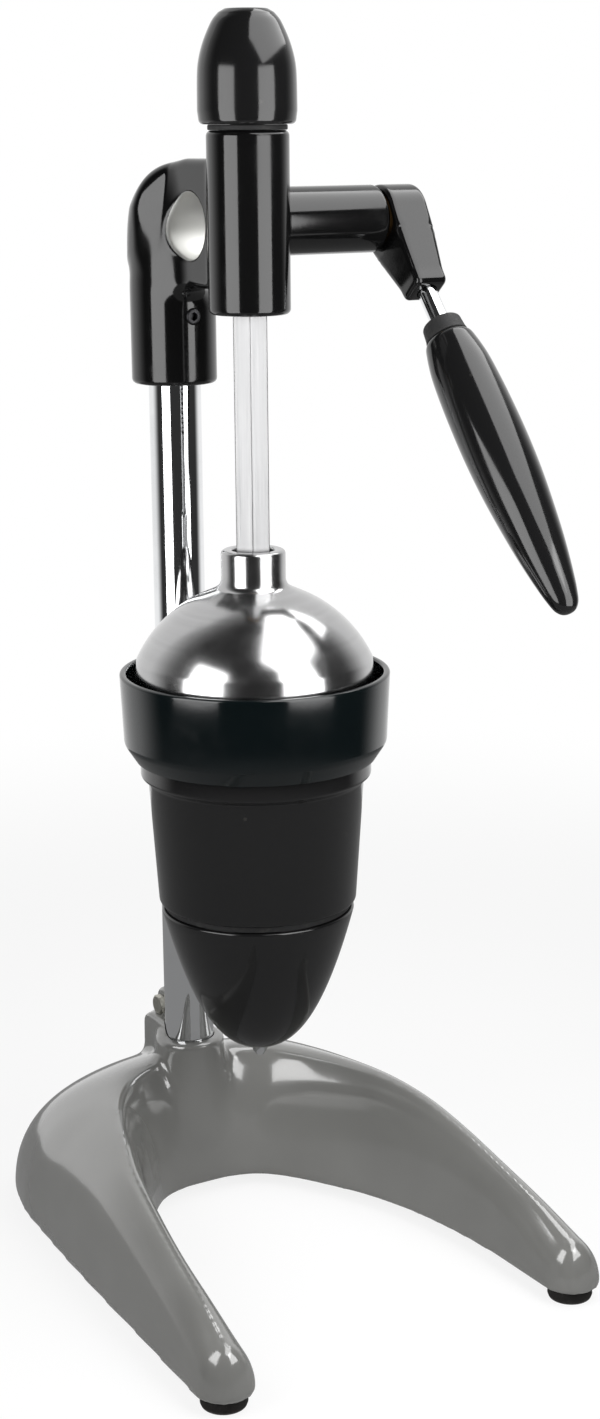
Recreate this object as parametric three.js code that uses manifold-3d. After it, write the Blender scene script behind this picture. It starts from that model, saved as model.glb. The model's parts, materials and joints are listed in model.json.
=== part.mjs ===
// Lever citrus juice press: a horseshoe base, a chromed column, a cast head with a rack and
// pinion, a side lever, a press dome on a hexagonal ram, and a cup that hangs in a ring.
// Millimetres, +Z up. The origin is where the axis of the ram meets the table, +X points to
// the lever and +Y to the column behind the cup.
import * as THREE from "three";
import { mergeVertices } from "three/addons/utils/BufferGeometryUtils.js";
import Module from "manifold-3d";

const wasm = await Module();
wasm.setup();

// Fits and fineness
const clearance = 0.3;
const overrun = 2;
const largeSides = 38;
const mediumSides = 24;
const smallSides = 16;
const hexSides = 6;
const squareSides = 4;
const edgeSegments = 2;
const roundedEdgeShare = 0.3;

// Base casting
const baseHalfWidth = 90;
const baseReach = 120;
const baseTopHeight = 62;
const baseWall = 5;
const baseLandWidth = 23.6;
const legTipHeight = 25.5;
const stationsPerSpan = 2;
const innerSideSteps = 6;
const outerSideSteps = 7;
const innerSpread = 0.8;
const innerRise = 0.85;
const outerSpread = 1.15;
const outerRise = 0.86;

// Column and its socket in the base
const columnRadius = 10.4;
const columnWall = 1.6;
const columnFootHeight = 12;
const columnTopAboveHeadBottom = 9.8;
const socketWall = 4.4;
const socketTop = 70.5;
const socketEdge = 1.2;
const hubRadius = 19;
const flareSteps = 5;
const hubFlareRadius = 24;
const hubFlareDrop = 17.5;
const socketBackHalfWidth = 10.4;
const socketBackDepth = 24;
const socketBackEdge = 2;

// Pinch lug behind the column and the bolts that close a split clamp
const pinchRise = 9.7;
const boltHeadRoom = 0.4;
const pinchSetback = 14.9;
const lugHalfWidth = 4.6;
const lugRadius = 7.6;
const lugFootDepth = 20;
const slitWidth = 1.6;
const slitDepth = 14;
const boltRadius = 2.4;
const boltHeadAcross = 7.6;
const boltHeadHeight = 3;
const boltOverhang = 1.5;
const nutHeight = 3.4;

// Feet and their screws
const footRadius = 8.9;
const footHeight = 5;
const footEdge = 0.8;
const footBossRadius = 7.6;
const rearFootAcrossShare = 0.611;
const rearFootBackShare = 0.667;
const footScrewRadius = 2;
const footScrewHeadRadius = 3.9;
const footScrewHeadHeight = 1.8;
const footScrewLength = 11;
const footScrewRecess = 0.7;

// Head casting
const headRadius = 15.3;
const headBottom = 378.2;
const headLength = 65.8;
const headEdge = 2.4;
const ramBoreRadius = 9.6;
const headSocketRadius = 16.9;
const headSocketDrop = 30.4;
const headSocketStraight = 35;
const headSocketShoulder = 44;
const headSocketEdge = 1.6;
const headSocketSteps = 6;
const webHalfWidth = 6;
const webEdge = 1.8;
const webRise = 7.8;
const archRise = 55.6;
const archRadius = 42;
const archOverhang = 2.4;
const archSteps = 12;
const webHoleRadius = 12.4;
const webHoleFromColumn = 25.5;
const webHoleRise = 30.8;
const setScrewRadius = 3;
const setScrewLength = 5.6;
const setScrewDrop = 3.7;
const setScrewProud = 0.5;
const setScrewHex = 3;
const setScrewHexDepth = 2.4;

// Rack and pinion
const toothModule = 1.25;
const toothCount = 13;
const toothThinning = 0.24;
const toothDedendumShare = 1.25;
const toothRootWidthShare = 0.8;
const pressureAngle = THREE.MathUtils.degToRad(20);
const rackAcrossFlats = 12.7;
const rackToothAddendumShare = 0.8;
const ramTravel = 76;
const rackSpareLength = 28;
const rackTeethAbovePinion = 3;
const pinionRise = 32.6;
const pinionFaceWidth = 9;
const pinionShaftRadius = 6.2;
const pinionBushLength = 13;
const bossRadius = 12.7;
const bossEnd = 62.4;
const bossEdge = 0.8;
const thrustWasherThickness = 1.2;
const thrustWasherRadius = 9.6;

// Lever
const leverSplay = THREE.MathUtils.degToRad(41);
const hubThickness = 16.6;
const hubOuterRadius = 12.7;
const hubLength = 35.5;
const hubTipHalfWidth = 5.6;
const hubTipHalfDepth = 6.4;
const hubTaperStart = 13;
const hubEdge = 1;
const leverSquare = 8.6;
const leverSquareRecess = 5.2;
const hubScrewHeadRadius = 4.4;
const hubScrewHeadHeight = 2.4;
const hubScrewRadius = 2.4;
const hubScrewLength = 12;
const hubWasherRadius = 7;
const hubWasherThickness = 1.2;
const rodRadius = 3.8;
const rodStart = 19;
const rodSocketDepth = 50;
const rodSetScrewAt = 28;
const rodSetScrewRadius = 2.4;
const rodSetScrewLength = 3.8;
const gripCollarStart = 50.6;
const gripCollarTopRadius = 7.6;
const gripCollarRadius = 8.6;
const gripStart = 58;
const gripLength = 122;
const gripRadius = 12.85;

// Ram, knob and dome
const ramEndAboveDomeCentre = 45.5;
const ramHexInKnob = 0.6;
const ramSpigotRadius = 5;
const ramSpigotLength = 24;
const knobRadius = 18.3;
const knobGap = 2;
const knobHeight = 40;
const bumperRadius = 12.4;
const bumperThickness = 1.3;
const bushFlangeLength = 16;
const domeNeckRadius = 12.4;
const domeNeckRise = 63.8;
const domeNeckEdge = 1.6;
const domeNeckFilletOut = 0.25;
const domeNeckFilletDown = 0.9;
const domeRoom = 3.3;
const domeDrop = 16.6;
const domeEyeRadius = 17;
const domeSkirtRise = 21.3;
const domeSkirtHeight = 11.8;
const domeSkirtFlare = 0.7;
const domeWall = 2.3;
const domeOuterSteps = 7;
const domeInnerSteps = 4;
const domeFloorThickness = 3.4;
const domeBoreRadius = 8.1;
const domeScrewRadius = 2.9;
const domeScrewLength = 14;
const domeScrewHeadRadius = 5.2;
const domeScrewHeadHeight = 3.2;
const domeWasherRadius = 8.6;
const domeWasherThickness = 1.4;

// Ring that carries the cup
const ringTop = 242.7;
const ringTopRadius = 52.6;
const ringHeight = 34.5;
const ringTaper = 1.2;
const ringFootHeight = 6.8;
const ringFootTaper = 5.6;
const ringLip = 1;
const ringWall = 2.7;
const ringLedgeDepth = 15.7;
const ringWebWall = 0.9;
const armHalfWidth = 11;
const armRise = 1.8;
const armHeight = 24;
const clampWall = 5;
const clampEarHalfWidth = 7;
const clampEarRadius = 8.4;
const clampBoltSetback = 22;
const clampSlit = 2;

// Cup, strainer, seal, funnel and spout
const cupFlangeThickness = 2;
const cupFlangeOverhang = 4.6;
const cupCollarDrop = 5.7;
const cupStepWidth = 2.9;
const cupTaper = 3.2;
const cupDepth = 77.5;
const cupWall = 2.5;
const cupStepHeight = 3;
const strainerBrimThickness = 1.4;
const strainerRoom = 6.6;
const strainerConeHeight = 25;
const strainerWall = 1.4;
const strainerHoleRadius = 1.7;
const strainerHolesInRow = 8;
const strainerHoleSides = 6;
const strainerSteps = 4;
const strainerHoleRows = 3;
const strainerRoundness = 1.2;
const strainerFirstRowShare = 0.86;
const strainerRowShare = 0.2;
const sealThickness = 2.2;
const funnelStep = 0.6;
const funnelHeight = 60.4;
const funnelRoundness = 0.4;
const funnelWall = 2.4;
const funnelSpigotHeight = 8;
const funnelSteps = 7;
const spoutRadius = 3.4;
const spoutDrop = 4.1;
const spoutStemRadius = 2.2;
const spoutStemLength = 7;
const spoutBore = 1.2;
const spoutTipShare = 0.5;
const spoutMiddleShare = 0.9;

// Worked out from the sizes above: the ring and what hangs in it
const ringInnerRadius = ringTopRadius - ringWall;
const ringWaistRadius = ringTopRadius - ringTaper;
const ringBottomRadius = ringTopRadius - ringFootTaper;
const ringBottom = ringTop - ringHeight;
const ringWaistHeight = ringBottom + ringFootHeight;
const ringLedgeHeight = ringTop - ringLedgeDepth;
const armBottom = ringBottom + armRise;
const armTop = armBottom + armHeight;
const columnSetback = ringInnerRadius + ringWebWall + clearance + columnRadius;
const cupCollarRadius = ringInnerRadius - cupFlangeOverhang;
const ringBoreRadius = cupCollarRadius + clearance;
const cupFlangeRadius = ringInnerRadius - clearance;
const cupFlangeBottom = ringLedgeHeight + clearance;
const cupTop = cupFlangeBottom + cupFlangeThickness;
const cupCollarBottom = ringBottom - cupCollarDrop;
const cupTopRadius = cupCollarRadius - cupStepWidth;
const cupBottomRadius = cupTopRadius - cupTaper;
const cupBottom = cupFlangeBottom - cupDepth;
const funnelTop = cupBottom - sealThickness - 2 * clearance;
const funnelTopRadius = cupBottomRadius - funnelStep;
const funnelBottom = funnelTop - funnelHeight;
const funnelSpigotRadius = cupBottomRadius - cupWall - clearance;
const spoutTip = funnelBottom - spoutDrop;

// The dome, the ram and the strainer under it
const skirtRadius = ringInnerRadius - domeRoom - domeSkirtFlare;
const domeRadius = Math.hypot(skirtRadius, domeSkirtRise);
const domeCentreHeight = ringTop - domeDrop;
const domeSkirtTop = domeCentreHeight + domeSkirtRise;
const domeSkirtBottom = domeSkirtTop - domeSkirtHeight;
const domeNeckTop = domeCentreHeight + domeNeckRise;
const ramBottom = domeCentreHeight + ramEndAboveDomeCentre;
const strainerConeRadius = skirtRadius - domeWall - strainerRoom;

// The head, the knob above it and the base socket
const headTop = headBottom + headLength;
const headSocketBottom = headBottom - headSocketDrop;
const columnTop = headBottom + columnTopAboveHeadBottom;
const webBottom = headBottom + webRise;
const archTop = headBottom + archRise;
const archCentreY = columnSetback + headSocketRadius + archOverhang - archRadius;
const archCentreZ = archTop - archRadius;
const webHoleSetback = columnSetback - webHoleFromColumn;
const webHoleHeight = headBottom + webHoleRise;
const setScrewHeight = headBottom - setScrewDrop;
const knobBottom = headTop + knobGap;
const ramHexTop = knobBottom + ramHexInKnob;
const baseBottom = footHeight + clearance;
const rearFootX = rearFootAcrossShare * baseHalfWidth;
const rearFootY = rearFootBackShare * baseReach;
const hubFlareHeight = socketTop - hubFlareDrop;
const pinchHeight = socketTop + pinchRise;
const socketBackTop = pinchHeight - boltHeadAcross / 2 - boltHeadRoom;

// The gear and the lever
const pinionHeight = headBottom + pinionRise;
const pitchRadius = toothModule * toothCount / 2;
const pinionTipRadius = pitchRadius + toothModule;
const pinionRootRadius = pitchRadius - toothModule * toothDedendumShare;
const rackPitchDepth = toothModule * rackToothAddendumShare;
const rackPitchLine = rackAcrossFlats / 2 - rackPitchDepth;
const pinionSetback = rackPitchLine + pitchRadius;
const pinionBoreRadius = pinionTipRadius + clearance;
const pinionBoreStart = -(pinionFaceWidth / 2 + clearance);
const hubStart = bossEnd + thrustWasherThickness + 2 * clearance;
const hubEnd = hubStart + hubThickness;
const leverPlane = (hubStart + hubEnd) / 2;

// Materials: colour, roughness and metalness
const blackPaint = finish(0x161718, 0.16, 0);
const blackPlastic = finish(0x101214, 0.12, 0);
const ringBlack = finish(0x12191b, 0.14, 0);
const greyPaint = finish(0x787971, 0.2, 0);
const rubber = finish(0x17130f, 0.85, 0);
const chrome = finish(0xd6d8da, 0.06, 1);
const polishedSteel = finish(0xb9bcc0, 0.14, 1);
const zincSteel = finish(0xa7a18a, 0.35, 1);
const bronze = finish(0xa8783c, 0.4, 1);
const darkSteel = finish(0x2b2b2d, 0.4, 1);

function finish(colour, roughness, metalness) {
  return new THREE.MeshStandardMaterial({ color: colour, roughness, metalness });
}

// Solids from closed geometries

function signedVolume(position, index) {
  const a = new THREE.Vector3();
  const b = new THREE.Vector3();
  const c = new THREE.Vector3();
  let volume = 0;
  for (let i = 0; i < index.length; i += 3) {
    a.fromBufferAttribute(position, index[i]);
    b.fromBufferAttribute(position, index[i + 1]);
    c.fromBufferAttribute(position, index[i + 2]);
    volume += a.dot(b.cross(c)) / 6;
  }
  return volume;
}

function solid(geometry) {
  const bare = geometry.clone();
  bare.deleteAttribute("normal");
  bare.deleteAttribute("uv");
  const merged = mergeVertices(bare);
  const source = merged.index.array;
  const faces = [];
  for (let i = 0; i < source.length; i += 3) {
    const [a, b, c] = [source[i], source[i + 1], source[i + 2]];
    if (a !== b && b !== c && c !== a) faces.push(a, b, c);
  }
  if (signedVolume(merged.attributes.position, faces) < 0) faces.reverse();
  return new wasm.Manifold(new wasm.Mesh({
    numProp: 3,
    vertProperties: new Float32Array(merged.attributes.position.array),
    triVerts: new Uint32Array(faces),
  }));
}

function join(first, ...others) {
  return others.reduce((sum, other) => sum.add(other), first);
}

function cut(body, ...tools) {
  return tools.reduce((rest, tool) => rest.subtract(tool), body);
}

function geometryOf(body) {
  const data = body.getMesh();
  const geometry = new THREE.BufferGeometry();
  const places = new THREE.BufferAttribute(new Float32Array(data.vertProperties), 3);
  geometry.setAttribute("position", places);
  geometry.setIndex(new THREE.BufferAttribute(new Uint32Array(data.triVerts), 1));
  geometry.computeVertexNormals();
  return geometry;
}

// Turned shape about +Z from [radius, height] points that start and end on the axis or close
function turned(profile, sides = largeSides, x = 0, y = 0) {
  const points = profile.map(([radius, height]) => new THREE.Vector2(radius, height));
  const geometry = new THREE.LatheGeometry(points, sides);
  geometry.rotateX(Math.PI / 2);
  geometry.translate(x, y, 0);
  return solid(geometry);
}

function disc(radius, bottom, top, sides = smallSides, x = 0, y = 0) {
  return turned([[0, bottom], [radius, bottom], [radius, top], [0, top]], sides, x, y);
}

function washer(radius, bore, bottom, top, sides = smallSides) {
  return turned([[bore, bottom], [radius, bottom], [radius, top], [bore, top], [bore, bottom]], sides);
}

// The same along +X, at a height and a setback
function turnedX(profile, sides, y, z) {
  const points = profile.map(([radius, along]) => new THREE.Vector2(radius, along));
  const geometry = new THREE.LatheGeometry(points, sides);
  geometry.rotateZ(-Math.PI / 2);
  geometry.translate(0, y, z);
  return solid(geometry);
}

function discX(radius, start, end, sides, y = 0, z = 0) {
  return turnedX([[0, start], [radius, start], [radius, end], [0, end]], sides, y, z);
}

function washerX(radius, bore, start, end, sides, y = 0, z = 0) {
  const profile = [[bore, start], [radius, start], [radius, end], [bore, end], [bore, start]];
  return turnedX(profile, sides, y, z);
}

// Flat outline of [across, up] points in the YZ plane, as thick as 2 * halfWidth in X
function plateX(outline, halfWidth, bevel = 0, x = 0) {
  const shape = new THREE.Shape(outline.map(([y, z]) => new THREE.Vector2(y, z)));
  const geometry = new THREE.ExtrudeGeometry(shape, {
    depth: 2 * (halfWidth - bevel),
    bevelEnabled: bevel > 0,
    bevelThickness: bevel,
    bevelSize: bevel,
    bevelOffset: -bevel,
    bevelSegments: edgeSegments,
  });
  geometry.translate(0, 0, bevel - halfWidth);
  geometry.applyMatrix4(new THREE.Matrix4().set(0, 0, 1, x, 1, 0, 0, 0, 0, 1, 0, 0, 0, 0, 0, 1));
  return solid(geometry);
}

function block(x0, x1, y0, y1, z0, z1) {
  const geometry = new THREE.BoxGeometry(x1 - x0, y1 - y0, z1 - z0);
  geometry.translate((x0 + x1) / 2, (y0 + y1) / 2, (z0 + z1) / 2);
  return solid(geometry);
}

// Regular prism along +Z whose flats face the Y axis
function prism(sides, acrossFlats, bottom, top) {
  const cornerRadius = acrossFlats / 2 / Math.cos(Math.PI / sides);
  const geometry = new THREE.CylinderGeometry(cornerRadius, cornerRadius, top - bottom, sides);
  geometry.rotateX(Math.PI / 2);
  geometry.rotateZ(sides === hexSides ? Math.PI / 2 : Math.PI / sides);
  geometry.translate(0, 0, (top + bottom) / 2);
  return solid(geometry);
}

function prismX(sides, acrossFlats, start, end, y = 0, z = 0) {
  const cornerRadius = acrossFlats / 2 / Math.cos(Math.PI / sides);
  const geometry = new THREE.CylinderGeometry(cornerRadius, cornerRadius, end - start, sides);
  geometry.rotateY(Math.PI / sides);
  geometry.rotateZ(-Math.PI / 2);
  geometry.translate((start + end) / 2, y, z);
  return solid(geometry);
}

function arcPoints(centreY, centreZ, radius, from, to, steps) {
  return Array.from({ length: steps + 1 }, (_, i) => {
    const angle = from + (to - from) * i / steps;
    return [centreY + radius * Math.cos(angle), centreZ + radius * Math.sin(angle)];
  });
}

// Scene graph

const press = new THREE.Group();
const lever = new THREE.Group();
lever.position.set(0, pinionSetback, pinionHeight);
lever.rotation.x = -leverSplay;
press.add(lever);

function piece(name, body, material, parent = press) {
  const mesh = new THREE.Mesh(geometryOf(body), material);
  mesh.name = name;
  parent.add(mesh);
}

// Base casting
// Half of the horseshoe from a leg tip to the middle of the rear. Each row holds the inner rim
// (x, y), the crest (x, y, height) and the outer rim (x, y), as shares of the half width, the
// reach and the top height of the base.
const legShares = [
  [0.738, -0.902, 0.869, -0.902, 0.411, 1.000, -0.902],
  [0.734, -0.733, 0.850, -0.733, 0.545, 0.988, -0.708],
  [0.724, -0.517, 0.830, -0.533, 0.665, 0.974, -0.500],
  [0.695, -0.317, 0.795, -0.350, 0.780, 0.962, -0.283],
  [0.652, -0.150, 0.750, -0.167, 0.875, 0.950, -0.100],
  [0.585, 0.010, 0.680, 0.000, 0.948, 0.936, 0.083],
  [0.492, 0.160, 0.590, 0.150, 0.990, 0.912, 0.313],
  [0.385, 0.285, 0.470, 0.290, 1.015, 0.876, 0.560],
  [0.280, 0.365, 0.320, 0.390, 1.035, 0.755, 0.800],
  [0.150, 0.400, 0.165, 0.435, 1.048, 0.430, 0.950],
  [0.000, 0.404, 0.000, 0.450, 1.050, 0.000, 1.000],
];
const tipAngleShares = [0.07, 0.22, 0.42, 0.68];

function legTipStation(share) {
  const radius = baseLandWidth / 2;
  const angle = share * Math.PI / 2;
  const x = baseHalfWidth - radius;
  const y = -(baseReach - radius);
  const front = y - radius * Math.cos(angle);
  const height = baseBottom + (legTipHeight - baseBottom) * Math.sin(angle);
  return {
    inner: new THREE.Vector3(x - radius * Math.sin(angle), front, baseBottom),
    crest: new THREE.Vector3(x, front, height),
    outer: new THREE.Vector3(x + radius * Math.sin(angle), front, baseBottom),
  };
}

function mirrored({ inner, crest, outer }) {
  const flip = (point) => new THREE.Vector3(-point.x, point.y, point.z);
  return { inner: flip(inner), crest: flip(crest), outer: flip(outer) };
}

function legStations(spanSteps) {
  const half = legShares.map(([ix, iy, cx, cy, cz, ox, oy]) => ({
    inner: new THREE.Vector3(ix * baseHalfWidth, iy * baseReach, baseBottom),
    crest: new THREE.Vector3(cx * baseHalfWidth, cy * baseReach, cz * baseTopHeight),
    outer: new THREE.Vector3(ox * baseHalfWidth, oy * baseReach, baseBottom),
  }));
  const all = [...half, ...half.slice(0, -1).reverse().map(mirrored)];
  const rail = (key) => new THREE.CatmullRomCurve3(all.map((station) => station[key]));
  const rails = { inner: rail("inner"), crest: rail("crest"), outer: rail("outer") };
  const steps = (all.length - 1) * spanSteps;
  return Array.from({ length: steps + 1 }, (_, i) => ({
    inner: rails.inner.getPoint(i / steps),
    crest: rails.crest.getPoint(i / steps),
    outer: rails.outer.getPoint(i / steps),
  }));
}

// Points of one side of a section, from the rim up to the crest
function sidePoints(rim, crest, spread, rise, steps) {
  return Array.from({ length: steps + 1 }, (_, i) => {
    const angle = i / steps * Math.PI / 2;
    const outward = Math.max(0, Math.cos(angle)) ** spread;
    const upward = Math.sin(angle) ** rise;
    return new THREE.Vector3(
      crest.x + (rim.x - crest.x) * outward,
      crest.y + (rim.y - crest.y) * outward,
      rim.z + (crest.z - rim.z) * upward,
    );
  });
}

function sectionOf({ inner, crest, outer }) {
  const up = sidePoints(inner, crest, innerSpread, innerRise, innerSideSteps);
  const down = sidePoints(outer, crest, outerSpread, outerRise, outerSideSteps).reverse();
  return [...up, ...down.slice(1)];
}

// The space below the roof: each station drawn in by the wall, and open at the bottom
function hollowStation({ inner, crest, outer }) {
  const across = new THREE.Vector3().subVectors(outer, inner).normalize().multiplyScalar(baseWall);
  const lower = (point, by) => new THREE.Vector3(point.x, point.y, point.z - by);
  return {
    inner: lower(inner.clone().add(across), overrun),
    crest: lower(crest, baseWall),
    outer: lower(outer.clone().sub(across), overrun),
  };
}

function loft(sections) {
  const ringSize = sections[0].length;
  const positions = sections.flat().flatMap((point) => [point.x, point.y, point.z]);
  const faces = [];
  for (let s = 0; s + 1 < sections.length; s += 1) {
    for (let k = 0; k < ringSize; k += 1) {
      const next = (k + 1) % ringSize;
      const [a, b] = [s * ringSize + k, s * ringSize + next];
      const [c, d] = [a + ringSize, b + ringSize];
      faces.push(a, c, b, b, c, d);
    }
  }
  const last = (sections.length - 1) * ringSize;
  for (let k = 1; k + 1 < ringSize; k += 1) {
    faces.push(0, k, k + 1, last, last + k + 1, last + k);
  }
  const geometry = new THREE.BufferGeometry();
  geometry.setAttribute("position", new THREE.Float32BufferAttribute(positions, 3));
  geometry.setIndex(faces);
  return solid(geometry);
}

function makeBase() {
  const tip = tipAngleShares.map(legTipStation);
  const stations = legStations(stationsPerSpan);
  const skin = loft([...tip, ...stations, ...tip.map(mirrored).reverse()].map(sectionOf));
  const hollow = stations.slice(stationsPerSpan, -stationsPerSpan).map(hollowStation);
  const cavity = loft(hollow.map(sectionOf));
  const hub = disc(hubRadius, baseBottom, socketTop, mediumSides, 0, columnSetback);
  const bosses = [-1, 1].map((side) => disc(
    footBossRadius, baseBottom, baseTopHeight, smallSides, side * rearFootX, rearFootY,
  ));
  const inside = join(hub, ...bosses).intersect(skin);
  const rimRadius = columnRadius + socketWall;
  const flareRing = (radius, height) => Array.from({ length: mediumSides }, (_, i) => {
    const angle = i / mediumSides * 2 * Math.PI;
    const centreY = columnSetback + radius - rimRadius;
    const [x, y] = [radius * Math.sin(angle), centreY - radius * Math.cos(angle)];
    return new THREE.Vector3(x, y, height);
  });
  const flare = Array.from({ length: flareSteps + 1 }, (_, i) => {
    const angle = i / flareSteps * Math.PI / 2;
    const radius = hubFlareRadius - (hubFlareRadius - rimRadius) * Math.sin(angle);
    const rise = socketTop - socketEdge - hubFlareHeight;
    return flareRing(radius, hubFlareHeight + rise * (1 - Math.cos(angle)));
  });
  const socket = loft([
    flareRing(hubFlareRadius, hubFlareHeight - overrun),
    ...flare,
    flareRing(rimRadius, socketTop - socketEdge / 2),
  ]);
  const backEnd = columnSetback + socketBackDepth;
  const back = plateX([
    [columnSetback, hubFlareHeight],
    [backEnd + socketBackEdge, hubFlareHeight],
    [backEnd, socketBackTop - 2 * socketBackEdge],
    [backEnd - 2 * socketBackEdge, socketBackTop],
    [columnSetback, socketBackTop],
  ], socketBackHalfWidth, socketBackEdge);
  const lug = plateX([
    [columnSetback, pinchHeight - lugFootDepth],
    [columnSetback + pinchSetback + lugRadius, pinchHeight - lugFootDepth],
    ...arcPoints(columnSetback + pinchSetback, pinchHeight, lugRadius, 0, Math.PI, smallSides / 2),
    [columnSetback + pinchSetback - lugRadius, socketTop],
    [columnSetback, socketTop],
  ], lugHalfWidth);
  const body = join(cut(skin, cavity), inside, cut(join(socket, back), cavity), lug);
  const boreRadius = columnRadius + clearance;
  const bore = disc(boreRadius, columnFootHeight, pinchHeight + overrun + lugRadius,
    mediumSides, 0, columnSetback);
  const slit = block(
    -slitWidth / 2, slitWidth / 2,
    columnSetback, columnSetback + pinchSetback + lugRadius + overrun,
    pinchHeight - slitDepth, pinchHeight + lugRadius + overrun,
  );
  const boltHole = discX(boltRadius + clearance, -hubRadius, hubRadius, smallSides,
    columnSetback + pinchSetback, pinchHeight);
  const screwHoles = footPlaces.map(([x, y]) => disc(
    footScrewRadius + clearance, baseBottom - overrun, footScrewTop + clearance, smallSides, x, y,
  ));
  return cut(body, bore, slit, boltHole, ...screwHoles);
}

const frontFootX = baseHalfWidth - baseLandWidth / 2;
const frontFootY = -(baseReach - baseLandWidth / 2);
const footPlaces = [
  [-frontFootX, frontFootY],
  [frontFootX, frontFootY],
  [-rearFootX, rearFootY],
  [rearFootX, rearFootY],
];
const footNames = ["front_left", "front_right", "rear_left", "rear_right"];
const footScrewTop = footScrewRecess + footScrewHeadHeight + footScrewLength;
piece("base_casting", makeBase(), greyPaint);

// Feet and foot screws
footNames.forEach((name, i) => {
  const [x, y] = footPlaces[i];
  const headRoom = footScrewHeadRadius + clearance;
  const shankRoom = footScrewRadius + clearance;
  const seat = footScrewRecess + footScrewHeadHeight + clearance;
  piece(`foot_${name}`, turned([
    [headRoom, 0],
    [footRadius - footEdge, 0],
    [footRadius, footEdge],
    [footRadius, footHeight],
    [shankRoom, footHeight],
    [shankRoom, seat],
    [headRoom, seat],
    [headRoom, 0],
  ], smallSides, x, y), rubber);
  piece(`foot_screw_${name}`, turned([
    [0, footScrewRecess],
    [footScrewHeadRadius, footScrewRecess],
    [footScrewHeadRadius, footScrewRecess + footScrewHeadHeight],
    [footScrewRadius, footScrewRecess + footScrewHeadHeight],
    [footScrewRadius, footScrewTop],
    [0, footScrewTop],
  ], smallSides / 2, x, y), zincSteel);
});

// Hex bolt and nut across a pair of ears, along X
function clampBolt(halfGrip, y, z) {
  const seat = halfGrip + clearance;
  const head = prismX(hexSides, boltHeadAcross, -(seat + boltHeadHeight), -seat, y, z);
  const shankEnd = seat + nutHeight + boltOverhang;
  return join(head, discX(boltRadius, -(seat + clearance), shankEnd, smallSides / 2, y, z));
}

function clampNut(halfGrip, y, z) {
  const seat = halfGrip + clearance;
  const nut = prismX(hexSides, boltHeadAcross, seat, seat + nutHeight, y, z);
  const hole = discX(boltRadius + clearance, seat - overrun, seat + nutHeight + overrun,
    smallSides, y, z);
  return cut(nut, hole);
}

const pinchY = columnSetback + pinchSetback;
piece("base_pinch_bolt", clampBolt(lugHalfWidth, pinchY, pinchHeight), zincSteel);
piece("base_pinch_nut", clampNut(lugHalfWidth, pinchY, pinchHeight), zincSteel);

// Column
piece("column_tube", turned([
  [columnRadius - columnWall, columnFootHeight + clearance],
  [columnRadius, columnFootHeight + clearance],
  [columnRadius, columnTop],
  [columnRadius - columnWall, columnTop],
  [columnRadius - columnWall, columnFootHeight + clearance],
], mediumSides, 0, columnSetback), chrome);

// Head casting
function makeHead() {
  const rounded = headEdge * roundedEdgeShare;
  const housing = turned([
    [0, headBottom],
    [headRadius - headEdge, headBottom],
    [headRadius - rounded, headBottom + rounded],
    [headRadius, headBottom + headEdge],
    [headRadius, headTop - headEdge],
    [headRadius - rounded, headTop - rounded],
    [headRadius - headEdge, headTop],
    [0, headTop],
  ], mediumSides);
  const straightTop = headSocketBottom + headSocketStraight;
  const shoulder = arcPoints(0, 0, 1, 0, Math.PI / 2, headSocketSteps).map(([out, up]) => [
    headSocketRadius * out, straightTop + headSocketShoulder * up,
  ]);
  const socket = turned([
    [0, headSocketBottom],
    [headSocketRadius - headSocketEdge, headSocketBottom],
    [headSocketRadius, headSocketBottom + headSocketEdge],
    ...shoulder,
  ], mediumSides, 0, columnSetback);
  const web = plateX([
    [0, webBottom],
    [columnSetback, webBottom],
    [archCentreY + archRadius, webBottom],
    ...arcPoints(archCentreY, archCentreZ, archRadius, 0, Math.PI / 2, archSteps),
    [0, archTop],
  ], webHalfWidth, webEdge);
  const boss = turnedX([
    [0, 0],
    [bossRadius, 0],
    [bossRadius, bossEnd - bossEdge],
    [bossRadius - bossEdge, bossEnd],
    [0, bossEnd],
  ], mediumSides, pinionSetback, pinionHeight);
  const ramBore = disc(ramBoreRadius, headBottom - overrun, headTop + overrun, mediumSides);
  const columnBore = disc(columnRadius + clearance, headSocketBottom - overrun,
    columnTop + clearance, mediumSides, 0, columnSetback);
  const pinionBore = discX(pinionBoreRadius, pinionBoreStart, bossEnd + overrun, mediumSides,
    pinionSetback, pinionHeight);
  const webHole = discX(webHoleRadius, -headRadius, headRadius, mediumSides,
    webHoleSetback, webHoleHeight);
  const screwHole = alongY(setScrewRadius + clearance, columnSetback - headSocketRadius - overrun,
    columnSetback, setScrewHeight);
  return cut(join(housing, socket, web, boss), ramBore, columnBore, pinionBore, webHole, screwHole);
}

function alongY(radius, start, end, height, sides = smallSides) {
  const geometry = new THREE.CylinderGeometry(radius, radius, end - start, sides);
  geometry.translate(0, (start + end) / 2, height);
  return solid(geometry);
}

piece("head_casting", makeHead(), blackPaint);

const setScrewFace = columnSetback - headSocketRadius - setScrewProud;
const setScrewHexCorner = setScrewHex / 2 / Math.cos(Math.PI / hexSides);
piece("head_set_screw", cut(
  alongY(setScrewRadius, setScrewFace, setScrewFace + setScrewLength, setScrewHeight, smallSides / 2),
  alongY(setScrewHexCorner, setScrewFace - overrun, setScrewFace + setScrewHexDepth,
    setScrewHeight, hexSides),
), darkSteel);

// Guide bushes of the ram, one at each end of the housing
const bushRadius = ramBoreRadius - clearance;
const bushHex = rackAcrossFlats + 2 * clearance;
const guideBush = (bottom, top) => cut(
  disc(bushRadius, bottom, top, mediumSides),
  prism(hexSides, bushHex, bottom - overrun, top + overrun),
);
piece("lower_guide_bush", guideBush(headBottom, headBottom + bushFlangeLength), bronze);
piece("upper_guide_bush", guideBush(headTop - bushFlangeLength, headTop), bronze);

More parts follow.
